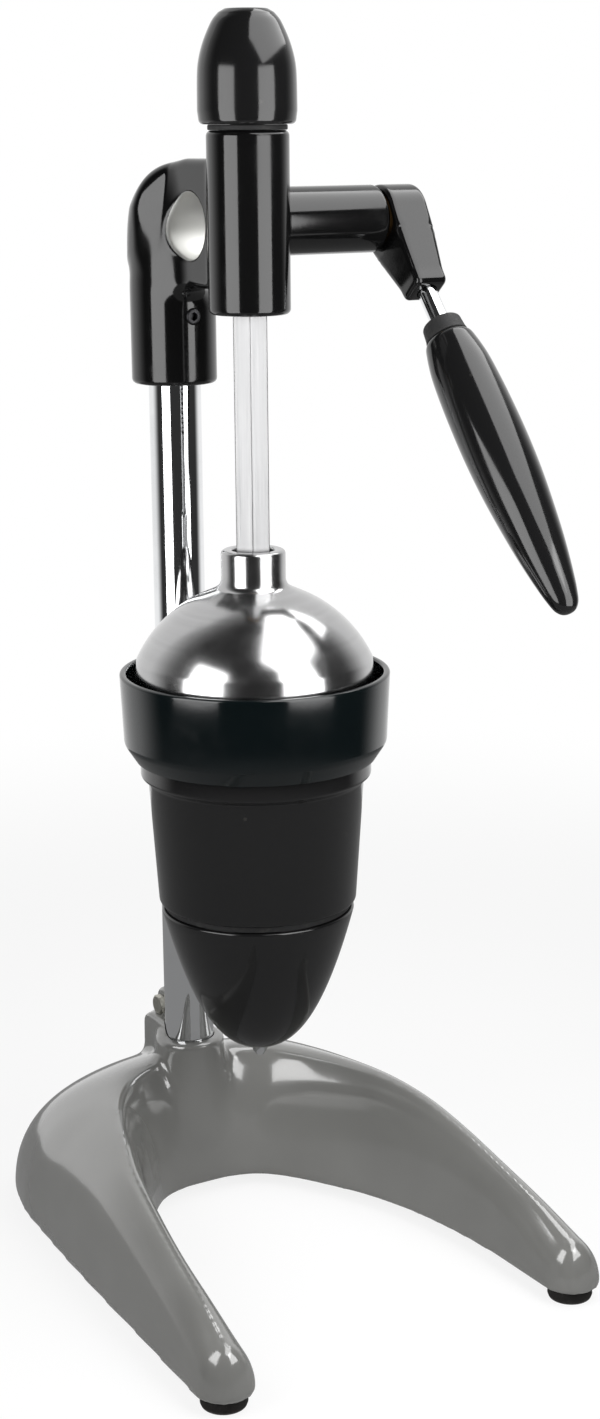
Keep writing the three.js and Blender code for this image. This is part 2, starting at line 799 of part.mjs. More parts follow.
// Pinion shaft with involute teeth, in the turning frame of the lever
function involutePoint(baseRadius, radius) {
  const roll = Math.sqrt(Math.max(0, (radius / baseRadius) ** 2 - 1));
  return roll - Math.atan(roll);
}

function pinionOutline() {
  const baseRadius = pitchRadius * Math.cos(pressureAngle);
  const halfTooth = Math.PI / toothCount / 2 - toothThinning / pitchRadius / 2;
  const atPitch = involutePoint(baseRadius, pitchRadius);
  const flank = [baseRadius, pitchRadius, pinionTipRadius].map((radius) => [
    radius, halfTooth + atPitch - involutePoint(baseRadius, radius),
  ]);
  const rootAngle = flank[0][1] * toothRootWidthShare;
  const side = [[pinionRootRadius, rootAngle], ...flank];
  const points = [];
  for (let tooth = 0; tooth < toothCount; tooth += 1) {
    const centre = leverSplay - Math.PI + tooth / toothCount * 2 * Math.PI;
    const rising = side.map(([radius, angle]) => [radius, centre - angle]);
    const falling = [...side].reverse().map(([radius, angle]) => [radius, centre + angle]);
    points.push(...rising, ...falling);
  }
  return points.map(([radius, angle]) => [radius * Math.cos(angle), radius * Math.sin(angle)]);
}

const squareStart = hubStart - clearance;
const squareEnd = hubEnd - leverSquareRecess;
function makePinion() {
  const teeth = plateX(pinionOutline(), pinionFaceWidth / 2);
  const journal = discX(pinionShaftRadius, 0, squareStart, mediumSides);
  const square = prismX(squareSides, leverSquare, squareStart - overrun, squareEnd);
  const tapped = discX(hubScrewRadius + clearance, squareEnd - hubScrewLength, squareEnd + overrun,
    smallSides);
  return cut(join(teeth, journal, square), tapped);
}

piece("pinion_shaft", makePinion(), darkSteel, lever);

// Bushes of the pinion shaft
const pinionBushRadius = pinionBoreRadius - clearance;
const bushBore = pinionShaftRadius + clearance;
const innerBushStart = pinionFaceWidth / 2 + 2 * clearance;
piece("pinion_bush_inner", washerX(pinionBushRadius, bushBore, innerBushStart,
  innerBushStart + pinionBushLength, mediumSides, pinionSetback, pinionHeight), bronze);
piece("pinion_bush_outer", washerX(pinionBushRadius, bushBore, bossEnd - pinionBushLength,
  bossEnd, mediumSides, pinionSetback, pinionHeight), bronze);

// Lever, built hanging straight down in its own frame and turned with its group
piece("thrust_washer", washerX(thrustWasherRadius, bushBore, bossEnd + clearance,
  bossEnd + clearance + thrustWasherThickness, mediumSides), bronze, lever);

function makeHub() {
  const tangent = Math.asin((hubOuterRadius - hubTipHalfWidth) / hubLength);
  const top = arcPoints(0, 0, hubOuterRadius, -tangent, Math.PI + tangent, smallSides);
  const outline = [...top, [-hubTipHalfWidth, -hubLength], [hubTipHalfWidth, -hubLength]];
  const halfDepth = (hubEnd - hubStart) / 2;
  const body = plateX(outline, halfDepth, hubEdge, leverPlane);
  const wedges = [-1, 1].map((side) => {
    const shape = new THREE.Shape([
      new THREE.Vector2(side * halfDepth, -hubTaperStart),
      new THREE.Vector2(side * hubTipHalfDepth, -hubLength),
      new THREE.Vector2(side * hubTipHalfDepth, -hubLength - overrun),
      new THREE.Vector2(side * (halfDepth + overrun), -hubLength - overrun),
      new THREE.Vector2(side * (halfDepth + overrun), -hubTaperStart),
    ]);
    const across = 2 * hubOuterRadius + overrun;
    const geometry = new THREE.ExtrudeGeometry(shape, { depth: across, bevelEnabled: false });
    geometry.translate(leverPlane, 0, -across / 2);
    geometry.rotateX(Math.PI / 2);
    return solid(geometry);
  });
  const square = prismX(squareSides, leverSquare + 2 * clearance, hubStart - overrun,
    hubEnd + overrun);
  const recess = discX(hubWasherRadius + clearance, squareEnd + clearance, hubEnd + overrun,
    smallSides);
  const rodHole = disc(rodRadius + clearance, -hubLength - overrun, -rodStart, smallSides,
    leverPlane);
  const screwHole = discX(rodSetScrewRadius + clearance, leverPlane, hubEnd + overrun, smallSides,
    0, -rodSetScrewAt);
  return cut(body, ...wedges, square, recess, rodHole, screwHole);
}

piece("lever_hub", makeHub(), blackPaint, lever);

const washerStart = squareEnd + 2 * clearance;
const washerEnd = washerStart + hubWasherThickness;
piece("hub_washer", washerX(hubWasherRadius, hubScrewRadius + clearance, washerStart, washerEnd,
  smallSides), zincSteel, lever);
const hubScrewSeat = washerEnd + clearance;
piece("hub_screw", join(
  discX(hubScrewHeadRadius, hubScrewSeat, hubScrewSeat + hubScrewHeadHeight, smallSides),
  discX(hubScrewRadius, squareEnd - hubScrewLength + clearance, hubScrewSeat + clearance,
    smallSides / 2),
), zincSteel, lever);

const rodEnd = gripStart + rodSocketDepth;
piece("lever_rod", disc(rodRadius, -rodEnd + clearance, -rodStart - clearance, smallSides,
  leverPlane), chrome, lever);
const rodScrewStart = leverPlane + rodRadius + clearance;
piece("rod_set_screw", discX(rodSetScrewRadius, rodScrewStart, rodScrewStart + rodSetScrewLength,
  smallSides / 2, 0, -rodSetScrewAt), darkSteel, lever);

const rodBore = rodRadius + clearance;
piece("grip_collar", turned([
  [rodBore, -gripCollarStart],
  [gripCollarTopRadius, -gripCollarStart],
  [gripCollarRadius, -gripStart + clearance],
  [rodBore, -gripStart + clearance],
  [rodBore, -gripCollarStart],
], smallSides, leverPlane), rubber, lever);

const gripShares = [
  [0, 0.68], [0.035, 0.79], [0.1, 0.905], [0.19, 0.965], [0.31, 1], [0.42, 1], [0.54, 0.955],
  [0.66, 0.86], [0.77, 0.745], [0.87, 0.6], [0.94, 0.47], [0.98, 0.33], [1, 0.12],
];
piece("lever_grip", turned([
  [0, -rodEnd],
  [rodBore, -rodEnd],
  [rodBore, -gripStart],
  ...gripShares.map(([along, out]) => [out * gripRadius, -gripStart - along * gripLength]),
  [0, -gripStart - gripLength],
], mediumSides, leverPlane), blackPlastic, lever);

// Ram: a hexagonal bar with rack teeth cut across its rear flat
function rackComb() {
  const pitch = Math.PI * toothModule;
  const gaps = Math.round((ramTravel + rackSpareLength) / pitch);
  const slope = Math.tan(pressureAngle);
  const rootDepth = rackPitchLine - toothModule * toothDedendumShare;
  const halfGapAt = (y) => pitch / 4 + toothThinning / 2 + (y - rackPitchLine) * slope;
  const outside = rackAcrossFlats / 2 + overrun;
  const face = rackAcrossFlats / 2;
  const first = pinionHeight + pitch * rackTeethAbovePinion;
  const teeth = Array.from({ length: gaps }, (_, i) => plateX([
    [rootDepth, first - i * pitch - halfGapAt(rootDepth)],
    [face, first - i * pitch - halfGapAt(face)],
    [outside, first - i * pitch - halfGapAt(face)],
    [outside, first - i * pitch + halfGapAt(face)],
    [face, first - i * pitch + halfGapAt(face)],
    [rootDepth, first - i * pitch + halfGapAt(rootDepth)],
  ], rackAcrossFlats));
  return teeth;
}

function makeRam() {
  const bar = prism(hexSides, rackAcrossFlats, ramBottom, ramHexTop);
  const spigot = disc(ramSpigotRadius, ramHexTop - overrun, ramHexTop + ramSpigotLength, smallSides);
  const tapped = disc(domeScrewRadius + clearance, ramBottom - overrun,
    ramBottom + domeScrewLength, smallSides);
  return cut(join(bar, spigot), tapped, ...rackComb());
}

piece("ram_rack", makeRam(), polishedSteel);

const knobShares = [
  [0.8, 0], [0.95, 0.02], [1, 0.075], [1, 0.16], [0.985, 0.47], [0.955, 0.57], [0.885, 0.69],
  [0.79, 0.8], [0.665, 0.91], [0.555, 0.965], [0.43, 1],
];
const ramHexCorner = rackAcrossFlats / 2 / Math.cos(Math.PI / hexSides);
piece("top_knob", turned([
  [0, ramHexTop + ramSpigotLength + clearance],
  [ramSpigotRadius + clearance, ramHexTop + ramSpigotLength + clearance],
  [ramSpigotRadius + clearance, ramHexTop + clearance],
  [ramHexCorner + clearance, ramHexTop + clearance],
  [ramHexCorner + clearance, knobBottom],
  ...knobShares.map(([out, up]) => [out * knobRadius, knobBottom + up * knobHeight]),
  [0, knobBottom + knobHeight],
], mediumSides), blackPlastic);
piece("knob_bumper", washer(bumperRadius, ramHexCorner + clearance, headTop + clearance,
  headTop + clearance + bumperThickness, mediumSides), rubber);

// Press dome, its washer and its screw
function capPoints(radius, fromRadius, toHeight, steps) {
  const from = Math.asin(fromRadius / radius);
  const to = Math.acos((toHeight - domeCentreHeight) / radius);
  return Array.from({ length: steps + 1 }, (_, i) => {
    const angle = from + (to - from) * i / steps;
    return [radius * Math.sin(angle), domeCentreHeight + radius * Math.cos(angle)];
  });
}

const domeFloor = ramBottom - clearance;
const domeRoof = domeFloor - domeFloorThickness;
const eyeHeight = domeCentreHeight + Math.sqrt(domeRadius ** 2 - domeEyeRadius ** 2);
const neckFoot = eyeHeight + (domeEyeRadius - domeNeckRadius);
const innerDome = domeRadius - domeWall;
piece("press_dome", turned([
  [domeScrewRadius + clearance, domeFloor],
  [domeBoreRadius, domeFloor],
  [domeBoreRadius, domeNeckTop],
  [domeNeckRadius - domeNeckEdge, domeNeckTop],
  [domeNeckRadius, domeNeckTop - domeNeckEdge],
  [domeNeckRadius, neckFoot + domeNeckEdge],
  [domeNeckRadius + (domeEyeRadius - domeNeckRadius) * domeNeckFilletOut,
    neckFoot - domeNeckEdge * domeNeckFilletDown],
  ...capPoints(domeRadius, domeEyeRadius, domeSkirtTop, domeOuterSteps),
  [skirtRadius + domeSkirtFlare, domeSkirtBottom],
  [skirtRadius + domeSkirtFlare - domeWall, domeSkirtBottom],
  [skirtRadius - domeWall, domeSkirtTop],
  ...capPoints(innerDome, domeEyeRadius - domeWall, domeSkirtTop, domeInnerSteps)
    .reverse().slice(1),
  [domeEyeRadius - domeWall, domeRoof],
  [domeScrewRadius + clearance, domeRoof],
  [domeScrewRadius + clearance, domeFloor],
]), polishedSteel);

const domeWasherTop = domeRoof - clearance;
const domeWasherBottom = domeWasherTop - domeWasherThickness;
piece("dome_washer", washer(domeWasherRadius, domeScrewRadius + clearance, domeWasherBottom,
  domeWasherTop, smallSides), zincSteel);
const domeScrewSeat = domeWasherBottom - clearance;
piece("dome_screw", turned([
  [0, domeScrewSeat - domeScrewHeadHeight],
  [domeScrewHeadRadius, domeScrewSeat - domeScrewHeadHeight],
  [domeScrewHeadRadius, domeScrewSeat],
  [domeScrewRadius, domeScrewSeat],
  [domeScrewRadius, ramBottom + domeScrewLength - clearance],
  [0, ramBottom + domeScrewLength - clearance],
], smallSides), zincSteel);

// Ring, arm and split clamp that hold the cup on the column
function makeHolder() {
  const ring = turned([
    [ringBoreRadius, ringBottom],
    [ringBottomRadius, ringBottom],
    [ringWaistRadius, ringWaistHeight],
    [ringTopRadius, ringTop - ringLip],
    [ringTopRadius - ringLip, ringTop],
    [ringInnerRadius + ringLip, ringTop],
    [ringInnerRadius, ringTop - ringLip],
    [ringInnerRadius, ringLedgeHeight],
    [ringBoreRadius, ringLedgeHeight],
    [ringBoreRadius, ringBottom],
  ]);
  const clampRadius = columnRadius + clampWall;
  const clamp = disc(clampRadius, armBottom, armTop, mediumSides, 0, columnSetback);
  const arm = block(-armHalfWidth, armHalfWidth, ringWaistRadius - ringWall, columnSetback,
    armBottom, armTop);
  const middle = (armBottom + armTop) / 2;
  const boltY = columnSetback + clampBoltSetback;
  const ears = plateX([
    [columnSetback, middle - clampEarRadius],
    ...arcPoints(boltY, middle, clampEarRadius, -Math.PI / 2, Math.PI / 2, smallSides / 2),
    [columnSetback, middle + clampEarRadius],
  ], clampEarHalfWidth);
  const mouth = disc(ringInnerRadius - clearance, armBottom - overrun, armTop + overrun,
    largeSides);
  const arms = cut(join(clamp, arm, ears), mouth);
  const bore = disc(columnRadius + clearance, Math.min(ringBottom, armBottom) - overrun,
    Math.max(ringTop, armTop) + overrun, mediumSides, 0, columnSetback);
  const slit = block(-clampSlit / 2, clampSlit / 2, columnSetback,
    boltY + clampEarRadius + overrun, armBottom - overrun, armTop + overrun);
  const hole = discX(boltRadius + clearance, -armHalfWidth - overrun, armHalfWidth + overrun,
    smallSides, boltY, middle);
  return cut(join(ring, arms), bore, slit, hole);
}

piece("holder_ring", makeHolder(), ringBlack);
const holderBoltY = columnSetback + clampBoltSetback;
const holderBoltZ = (armBottom + armTop) / 2;
piece("holder_clamp_bolt", clampBolt(clampEarHalfWidth, holderBoltY, holderBoltZ), zincSteel);
piece("holder_clamp_nut", clampNut(clampEarHalfWidth, holderBoltY, holderBoltZ), zincSteel);

// Cup that hangs in the ring
const cupFoot = cupCollarBottom - cupStepHeight;
piece("cup_body", turned([
  [cupBottomRadius - cupWall, cupBottom],
  [cupBottomRadius, cupBottom],
  [cupTopRadius, cupFoot],
  [cupCollarRadius, cupCollarBottom],
  [cupCollarRadius, cupFlangeBottom],
  [cupFlangeRadius, cupFlangeBottom],
  [cupFlangeRadius, cupTop],
  [cupCollarRadius - cupWall, cupTop],
  [cupCollarRadius - cupWall, cupCollarBottom + cupStepHeight],
  [cupTopRadius - cupWall, cupFoot],
  [cupBottomRadius - cupWall, cupBottom],
]), blackPlastic);

// Strainer: a brim on the cup and a perforated cone
function makeStrainer() {
  const brimBottom = cupTop + clearance;
  const brimTop = brimBottom + strainerBrimThickness;
  const cone = (inset, bottom) => Array.from({ length: strainerSteps + 1 }, (_, i) => {
    const angle = i / strainerSteps * Math.PI / 2;
    const radius = (strainerConeRadius - inset) * Math.max(0, Math.cos(angle)) ** strainerRoundness;
    return [radius, bottom + strainerConeHeight * Math.sin(angle)];
  });
  const hat = turned([
    [0, brimBottom + strainerConeHeight],
    ...cone(strainerWall, brimBottom).reverse().slice(1),
    [cupFlangeRadius, brimBottom],
    [cupFlangeRadius, brimTop],
    ...cone(0, brimTop).slice(0, -1),
    [0, brimTop + strainerConeHeight],
  ]);
  const holes = [];
  for (let row = 0; row < strainerHoleRows; row += 1) {
    const ring = strainerConeRadius * (strainerFirstRowShare - strainerRowShare * row);
    for (let i = 0; i < strainerHolesInRow; i += 1) {
      const angle = (i + row / 2) / strainerHolesInRow * 2 * Math.PI;
      holes.push(disc(strainerHoleRadius, brimBottom - overrun,
        brimTop + strainerConeHeight + overrun, strainerHoleSides,
        ring * Math.cos(angle), ring * Math.sin(angle)));
    }
  }
  return cut(hat, ...holes);
}

piece("strainer", makeStrainer(), polishedSteel);

// Seal ring between cup and funnel
const sealBottom = funnelTop + clearance;
piece("joint_seal", washer(cupBottomRadius - cupWall / 2, funnelSpigotRadius + clearance,
  sealBottom, sealBottom + sealThickness, largeSides), rubber);

// Funnel: bullet-shaped, with a spigot inside the cup and a hole for the spout
function bulletPoints(topRadius, bottom, steps) {
  return Array.from({ length: steps + 1 }, (_, i) => {
    const share = (i / steps) ** 2;
    return [topRadius * share ** funnelRoundness, bottom + (funnelTop - bottom) * share];
  });
}

function makeFunnel() {
  const spigotTop = funnelTop + funnelSpigotHeight;
  const inner = bulletPoints(funnelTopRadius - funnelWall, funnelBottom + funnelWall, funnelSteps);
  const spigotBore = funnelSpigotRadius - funnelWall;
  const shell = turned([
    ...bulletPoints(funnelTopRadius, funnelBottom, funnelSteps),
    [funnelSpigotRadius, funnelTop],
    [funnelSpigotRadius, spigotTop],
    [spigotBore, spigotTop],
    ...inner.reverse().filter(([radius]) => radius < spigotBore),
  ]);
  const hole = disc(spoutStemRadius + clearance, funnelBottom - overrun,
    funnelBottom + 2 * funnelWall + spoutStemLength, smallSides);
  return cut(shell, hole);
}

piece("funnel", makeFunnel(), blackPlastic);

const spoutShoulder = funnelBottom - clearance;
piece("spout_nozzle", turned([
  [spoutBore, spoutTip],
  [spoutRadius * spoutTipShare, spoutTip],
  [spoutRadius * spoutMiddleShare, (spoutTip + spoutShoulder) / 2],
  [spoutRadius, spoutShoulder],
  [spoutStemRadius, spoutShoulder],
  [spoutStemRadius, spoutShoulder + spoutStemLength],
  [spoutBore, spoutShoulder + spoutStemLength],
  [spoutBore, spoutTip],
], smallSides), chrome);

export default press;
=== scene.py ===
"""Gives a lever citrus juice press its fine surfaces, finishes and studio.

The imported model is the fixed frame. Each piece that shows is modelled again in its place with a
fine surface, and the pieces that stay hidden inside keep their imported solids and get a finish.
"""
import json
import math
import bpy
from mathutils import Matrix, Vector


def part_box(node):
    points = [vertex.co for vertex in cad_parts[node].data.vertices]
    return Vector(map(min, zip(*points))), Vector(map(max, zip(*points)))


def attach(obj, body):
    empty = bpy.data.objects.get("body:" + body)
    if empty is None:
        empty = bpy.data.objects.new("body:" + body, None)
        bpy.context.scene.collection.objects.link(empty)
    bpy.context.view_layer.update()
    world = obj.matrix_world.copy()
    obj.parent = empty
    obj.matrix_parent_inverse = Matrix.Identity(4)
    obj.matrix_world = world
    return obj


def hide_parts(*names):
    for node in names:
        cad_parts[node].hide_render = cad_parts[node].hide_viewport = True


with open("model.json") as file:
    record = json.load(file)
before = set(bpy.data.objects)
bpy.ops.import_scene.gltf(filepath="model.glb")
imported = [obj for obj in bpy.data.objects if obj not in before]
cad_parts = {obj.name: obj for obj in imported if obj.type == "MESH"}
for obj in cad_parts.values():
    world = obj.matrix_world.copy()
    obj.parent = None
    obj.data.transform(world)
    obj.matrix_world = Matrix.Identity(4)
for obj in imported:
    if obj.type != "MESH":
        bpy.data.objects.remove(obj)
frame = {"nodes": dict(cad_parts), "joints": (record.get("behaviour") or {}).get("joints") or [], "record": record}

from types import SimpleNamespace

import bpy
import numpy as np
from bpy.props import FloatProperty, FloatVectorProperty, IntProperty, PointerProperty
from mathutils import Matrix, Vector

bl_info = {
    "name": "Citrus press",
    "version": (1, 0, 0),
    "blender": (4, 5, 0),
    "location": "3D View > Sidebar > Citrus press",
    "description": "Builds the fine surfaces of a lever citrus juice press and its studio",
    "category": "Mesh",
}

MM = 0.001
UP = Vector((0, 0, 1))
ACROSS = Vector((1, 0, 0))
BACK = Vector((0, 1, 0))
TINY = 1e-6
PLAIN_EDGE, FINE_EDGE = 0.5 * MM, 0.4 * MM
# How far cutting tools reach past what they cut
PAST, SPARE = 5 * MM, 2 * MM

# Angles in degrees past which an edge is shaded as an edge
TURNED_CORNER = 40
CAST_CORNER = 50
FLAT_CORNER = 25
HEX_CORNER = 20


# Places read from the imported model

def low(node):
    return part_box(node)[0]


def high(node):
    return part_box(node)[1]


def middle(node):
    return (low(node) + high(node)) / 2


def half_depth(node):
    return (high(node).y - low(node).y) / 2


def half_width(node):
    return (high(node).x - low(node).x) / 2


def heights(node):
    return low(node).z, high(node).z


def widths(node):
    return low(node).x, high(node).x


def floor_spot(node):
    """Where the upright axis of a round piece meets the floor."""
    return Vector((middle(node).x, middle(node).y, 0))


def side_spot(node):
    """Where the axis of a piece that lies across the press meets its middle plane."""
    return Vector((0, middle(node).y, middle(node).z))


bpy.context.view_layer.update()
COLUMN_Y = middle("column_tube").y
COLUMN_AXIS = floor_spot("column_tube")
COLUMN_RADIUS = half_depth("column_tube")
PIVOT = side_spot("pinion_bush_outer")
LEVER_X = middle("lever_rod").x
LEVER_TOP = Vector((LEVER_X, PIVOT.y, PIVOT.z))
LEVER_WAY = (middle("lever_rod") - LEVER_TOP).normalized()
ROD_RADIUS = half_width("lever_rod")


def along_lever(node):
    """Where a round piece on the lever starts and ends, measured down the lever from its pivot."""
    vertices = frame["nodes"][node].data.vertices
    ways = [(vertex.co - LEVER_TOP).dot(LEVER_WAY) for vertex in vertices]
    return min(ways), max(ways)


# Properties

def length(name, millimetres, description):
    return FloatProperty(
        name=name, description=description, default=millimetres * MM, min=0, unit="LENGTH",
    )


def share(name, default, description):
    return FloatProperty(name=name, description=description, default=default, min=0)


def colour(name, default, description):
    return FloatVectorProperty(
        name=name, description=description, default=default, min=0, max=1, subtype="COLOR",
    )


def angle(name, degrees, description):
    return FloatProperty(
        name=name, description=description, default=math.radians(degrees), subtype="ANGLE",
    )


class PressSizes(bpy.types.PropertyGroup):
    """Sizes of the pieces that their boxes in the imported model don't give."""

    clearance: length("Clearance", 0.3, "Gap between two pieces that fit together")
    sides: IntProperty(name="Sides", description="Steps round a large turned piece", default=144)
    small_sides: IntProperty(name="Small sides", description="Steps round a small one", default=48)

    base_top: length("Base top", 62, "Height that the crests of the base are shares of")
    base_wall: length("Base wall", 6.5, "Thickness of the casting over its hollow")
    leg_width: length("Leg width", 23.6, "Width of a leg at its round tip")
    leg_tip: length("Leg tip height", 25.5, "Height of the leg where its tip starts")
    hub_radius: length("Hub radius", 19, "Solid core round the column in the base")
    socket_top: length("Socket top", 70.5, "Height of the rim that the column stands in")
    socket_wall: length("Socket wall", 4.4, "Wall of that rim")
    socket_edge: length("Socket edge", 1.2, "Rounding of that rim")
    flare_radius: length("Flare radius", 35, "Radius of the socket where it runs into the base")
    flare_drop: length("Flare drop", 36, "Height of the flare below the rim")
    flare_depth: share("Flare depth", 0.3, "Depth that the flare gains, as a share of its width")
    hub_ease: length("Hub easing", 62, "Radius in which the base flows up to the column")
    back_half_width: length("Back half width", 10.4, "Half width of the block behind the column")
    back_depth: length("Back depth", 24, "Reach of that block behind the column axis")
    back_edge: length("Back edge", 2, "Rounding of that block")
    boss_radius: length("Foot boss radius", 7.6, "Radius of the bosses over the rear feet")
    base_skin: length("Base skin", 1.15, "Mesh size of the skin of the base")
    lug_half_width: length("Lug half width", 4.6, "Half width of the pinch lug")
    lug_radius: length("Lug radius", 7.6, "Radius of the pinch lug round its bolt")
    lug_foot: length("Lug foot", 20, "Depth of the pinch lug below its bolt")
    slit: length("Slit", 1.6, "Width of the slit in the pinch lug")
    slit_depth: length("Slit depth", 14, "Depth of that slit below its bolt")
    bolt_radius: length("Bolt radius", 2.4, "Radius of a clamp bolt")
    bolt_across: length("Bolt head", 7.6, "Hex head across its flats")
    bolt_head: length("Bolt head height", 3, "Height of a hex head")
    washer_height: length("Washer height", 1.2, "Height of the washer under the hub screw")
    screw_radius: length("Foot screw radius", 2, "Radius of a foot screw")
    screw_head: length("Foot screw head", 1.8, "Height of the pan head of a foot screw")
    screw_slot: length("Foot screw slot", 0.9, "Width and depth of the cross slot in that head")
    column_foot: length("Column foot", 12, "Height of the seat of the column")
    column_wall: length("Column wall", 1.6, "Wall of the tube")

    head_edge: length("Housing edge", 2.0, "Rounding at the ends of the housing")
    ram_bore: length("Ram bore", 9.6, "Radius of the bore of the housing")
    web_half_width: length("Web half width", 6, "Half width of the web behind the housing")
    web_edge: length("Web edge", 3.2, "Rounding of the edges of the web")
    web_rise: length("Web rise", 7.8, "Underside of the web over the foot of the housing")
    arch_rise: length("Arch rise", 55.6, "Top of the web over the foot of the housing")
    arch_radius: length("Arch radius", 42, "Radius of the back of the web")
    haunch_gap: length("Haunch gap", 2, "How far behind the hole the web starts to swell")
    haunch_tuck: length("Haunch tuck", 5, "How far the foot of the swelling draws in")
    haunch_edge: length("Haunch edge", 12, "Rounding where the web swells to the socket")
    web_hole: length("Web hole", 12.4, "Radius of the round hole in the web")
    web_hole_edge: length("Web hole edge", 1.4, "How softly the hole opens into the web")
    web_hole_front: length("Web hole set", 25.5, "Centre of that hole in front of the column")
    web_hole_rise: length("Web hole rise", 30.8, "Height of that hole over the foot of the housing")
    socket_straight: length("Socket straight", 35, "Straight part of the column socket")
    socket_shoulder: length("Socket shoulder", 44, "Height of the shoulder over it")
    boss_barrel: length("Boss radius", 12.7, "Radius of the boss that the lever turns in")
    boss_end_edge: length("Boss edge", 0.8, "Rounding at the end of the boss")
    cast_fillet: length("Casting fillet", 9, "How softly the parts of the head run together")
    head_skin: length("Head skin", 0.72, "Mesh size of the skin of the head")
    set_screw: length("Set screw radius", 3, "Radius of the screw that holds the column")
    set_screw_socket: length("Set screw socket", 3, "Hexagonal socket across its flats")
    set_screw_depth: length("Set screw socket depth", 2.4, "Depth of that socket")
    pinion_room: length("Pinion room", 5, "Depth of the pinion's bore past the ram axis")

    hub_barrel: length("Hub radius", 12.7, "Radius of the lever hub round the pinion shaft")
    hub_length: length("Hub length", 35.5, "Length of the hub down the lever")
    hub_tip_width: length("Hub tip half width", 5.6, "Half width of the tip of the hub")
    hub_tip_depth: length("Hub tip half depth", 6.4, "Half depth of the tip of the hub")
    hub_taper: length("Hub taper start", 13, "Where the flanks of the hub start to taper")
    hub_round: length("Hub rounding", 2.2, "How softly the faces of the hub meet")
    hub_lip: length("Hub lip", 0.5, "How far the lip round the rod stands out")
    hub_lip_length: length("Hub lip length", 7, "Length of that lip")
    hub_skin: length("Hub skin", 0.5, "Mesh size of the skin of the hub")
    hub_square: length("Hub square", 8.6, "Squared end of the shaft across its flats")
    hub_recess: length("Hub recess", 7.3, "Radius of the recess over the hub screw")
    thrust_bore: length("Thrust bore", 6.5, "Radius of the bore of the washer at the hub")
    collar_top: length("Collar top radius", 7.6, "Radius of the grip's collar at its top")
    collar_foot: length("Collar foot radius", 8.6, "Radius of the collar at the grip")
    grip_radius: length("Grip radius", 12.85, "Largest radius of the grip")

    bar_across: length("Bar across flats", 12.7, "Hexagonal ram bar across its flats")
    bar_edge: length("Bar edge", 0.35, "Rounding of the long edges of the bar")
    spigot: length("Spigot", 5, "Radius of the spigot that the knob is screwed on")
    knob_seat: length("Knob seat", 0.6, "How far the bar reaches into the knob")
    tap_depth: length("Tapped depth", 14, "Depth of the hole for the dome's screw")
    knob_edge: length("Knob edge", 0.7, "Rounding round the flat top of the knob")
    bumper_rim: length("Bumper rim", 2.3, "How far the bumper bulges out under the knob's weight")
    neck_radius: length("Dome neck radius", 12.4, "Radius of the neck of the press dome")
    neck_edge: length("Dome neck edge", 1.6, "Rounding of the top of the neck")
    neck_fillet: length("Dome neck fillet", 7, "Fillet between the neck and the dome")
    eye_radius: length("Dome eye radius", 17, "Where the neck's fillet leaves the dome")
    dome_drop: length("Dome drop", 16.6, "Centre of the dome's sphere below the top of the ring")
    skirt_rise: length("Skirt rise", 21.3, "Top of the skirt over that centre")
    skirt_flare: length("Skirt flare", 0.7, "How far the foot of the skirt stands out")
    dome_wall: length("Dome wall", 2.3, "Wall of the dome")
    dome_bore: length("Dome bore", 8.1, "Radius of the bore for the bar")
    dome_floor: length("Dome floor", 3.4, "Floor of that bore")

    ring_wall: length("Ring wall", 2.7, "Thickness of the ring at its lip")
    ring_taper: length("Ring taper", 1.2, "Taper of the ring down to its waist")
    ring_foot: length("Ring foot height", 6.8, "Height of the rounded foot of the ring")
    ring_foot_taper: length("Ring foot taper", 5.6, "Taper of the ring down to its foot")
    ring_lip: length("Ring lip", 1, "Rounding of the lip of the ring")
    ring_ledge: length("Ring ledge", 15.7, "Depth of the ledge that the cup hangs on")
    arm_half_width: length("Arm half width", 11, "Half width of the arm behind the ring")
    arm_rise: length("Arm rise", 1.8, "Underside of the arm over the foot of the ring")
    arm_height: length("Arm height", 24, "Height of the arm")
    clamp_wall: length("Clamp wall", 5, "Wall of the clamp round the column")
    ear_half_width: length("Ear half width", 7, "Half width of the clamp ears")
    ear_radius: length("Ear radius", 8.4, "Radius of the clamp ears round their bolt")
    clamp_slit: length("Clamp slit", 2, "Width of the slit of the clamp")
    clamp_skin: length("Clamp skin", 0.8, "Mesh size of the skin of the arm")

    cup_wall: length("Cup wall", 2.5, "Wall of the cup")
    cup_flange: length("Cup flange", 2, "Thickness of the flange that hangs in the ring")
    cup_overhang: length("Cup overhang", 4.6, "How far that flange stands out")
    cup_collar_drop: length("Cup collar drop", 5.7, "Collar of the cup below the ring")
    cup_step: length("Cup step", 2.9, "Width of the step below the collar")
    cup_step_height: length("Cup step height", 3, "Height of that step")
    cup_edge: length("Cup edge", 1.3, "Rounding of the lower edge of the cup")
    cone_height: length("Strainer height", 25, "Height of the strainer cone")
    cone_gap: length("Strainer gap", 6.6, "Gap between the foot of the cone and the dome")
    cone_hole: length("Strainer hole", 1.15, "Radius of a hole in the strainer")
    cone_holes: IntProperty(
        name="Strainer holes", description="Holes that a row at the brim would have", default=30,
    )
    cone_rows: IntProperty(name="Strainer rows", description="Rows of holes", default=6)
    funnel_wall: length("Funnel wall", 2.4, "Wall of the funnel")
    funnel_edge: length("Funnel edge", 0.8, "Rounding of the upper edge of the funnel")
    spout_stem: length("Spout stem", 2.2, "Radius of the stem of the spout")
    spout_bore: length("Spout bore", 1.2, "Radius of the bore of the spout")
    spout_seat: length("Spout seat", 12, "Depth of the hole that the stem sits in")


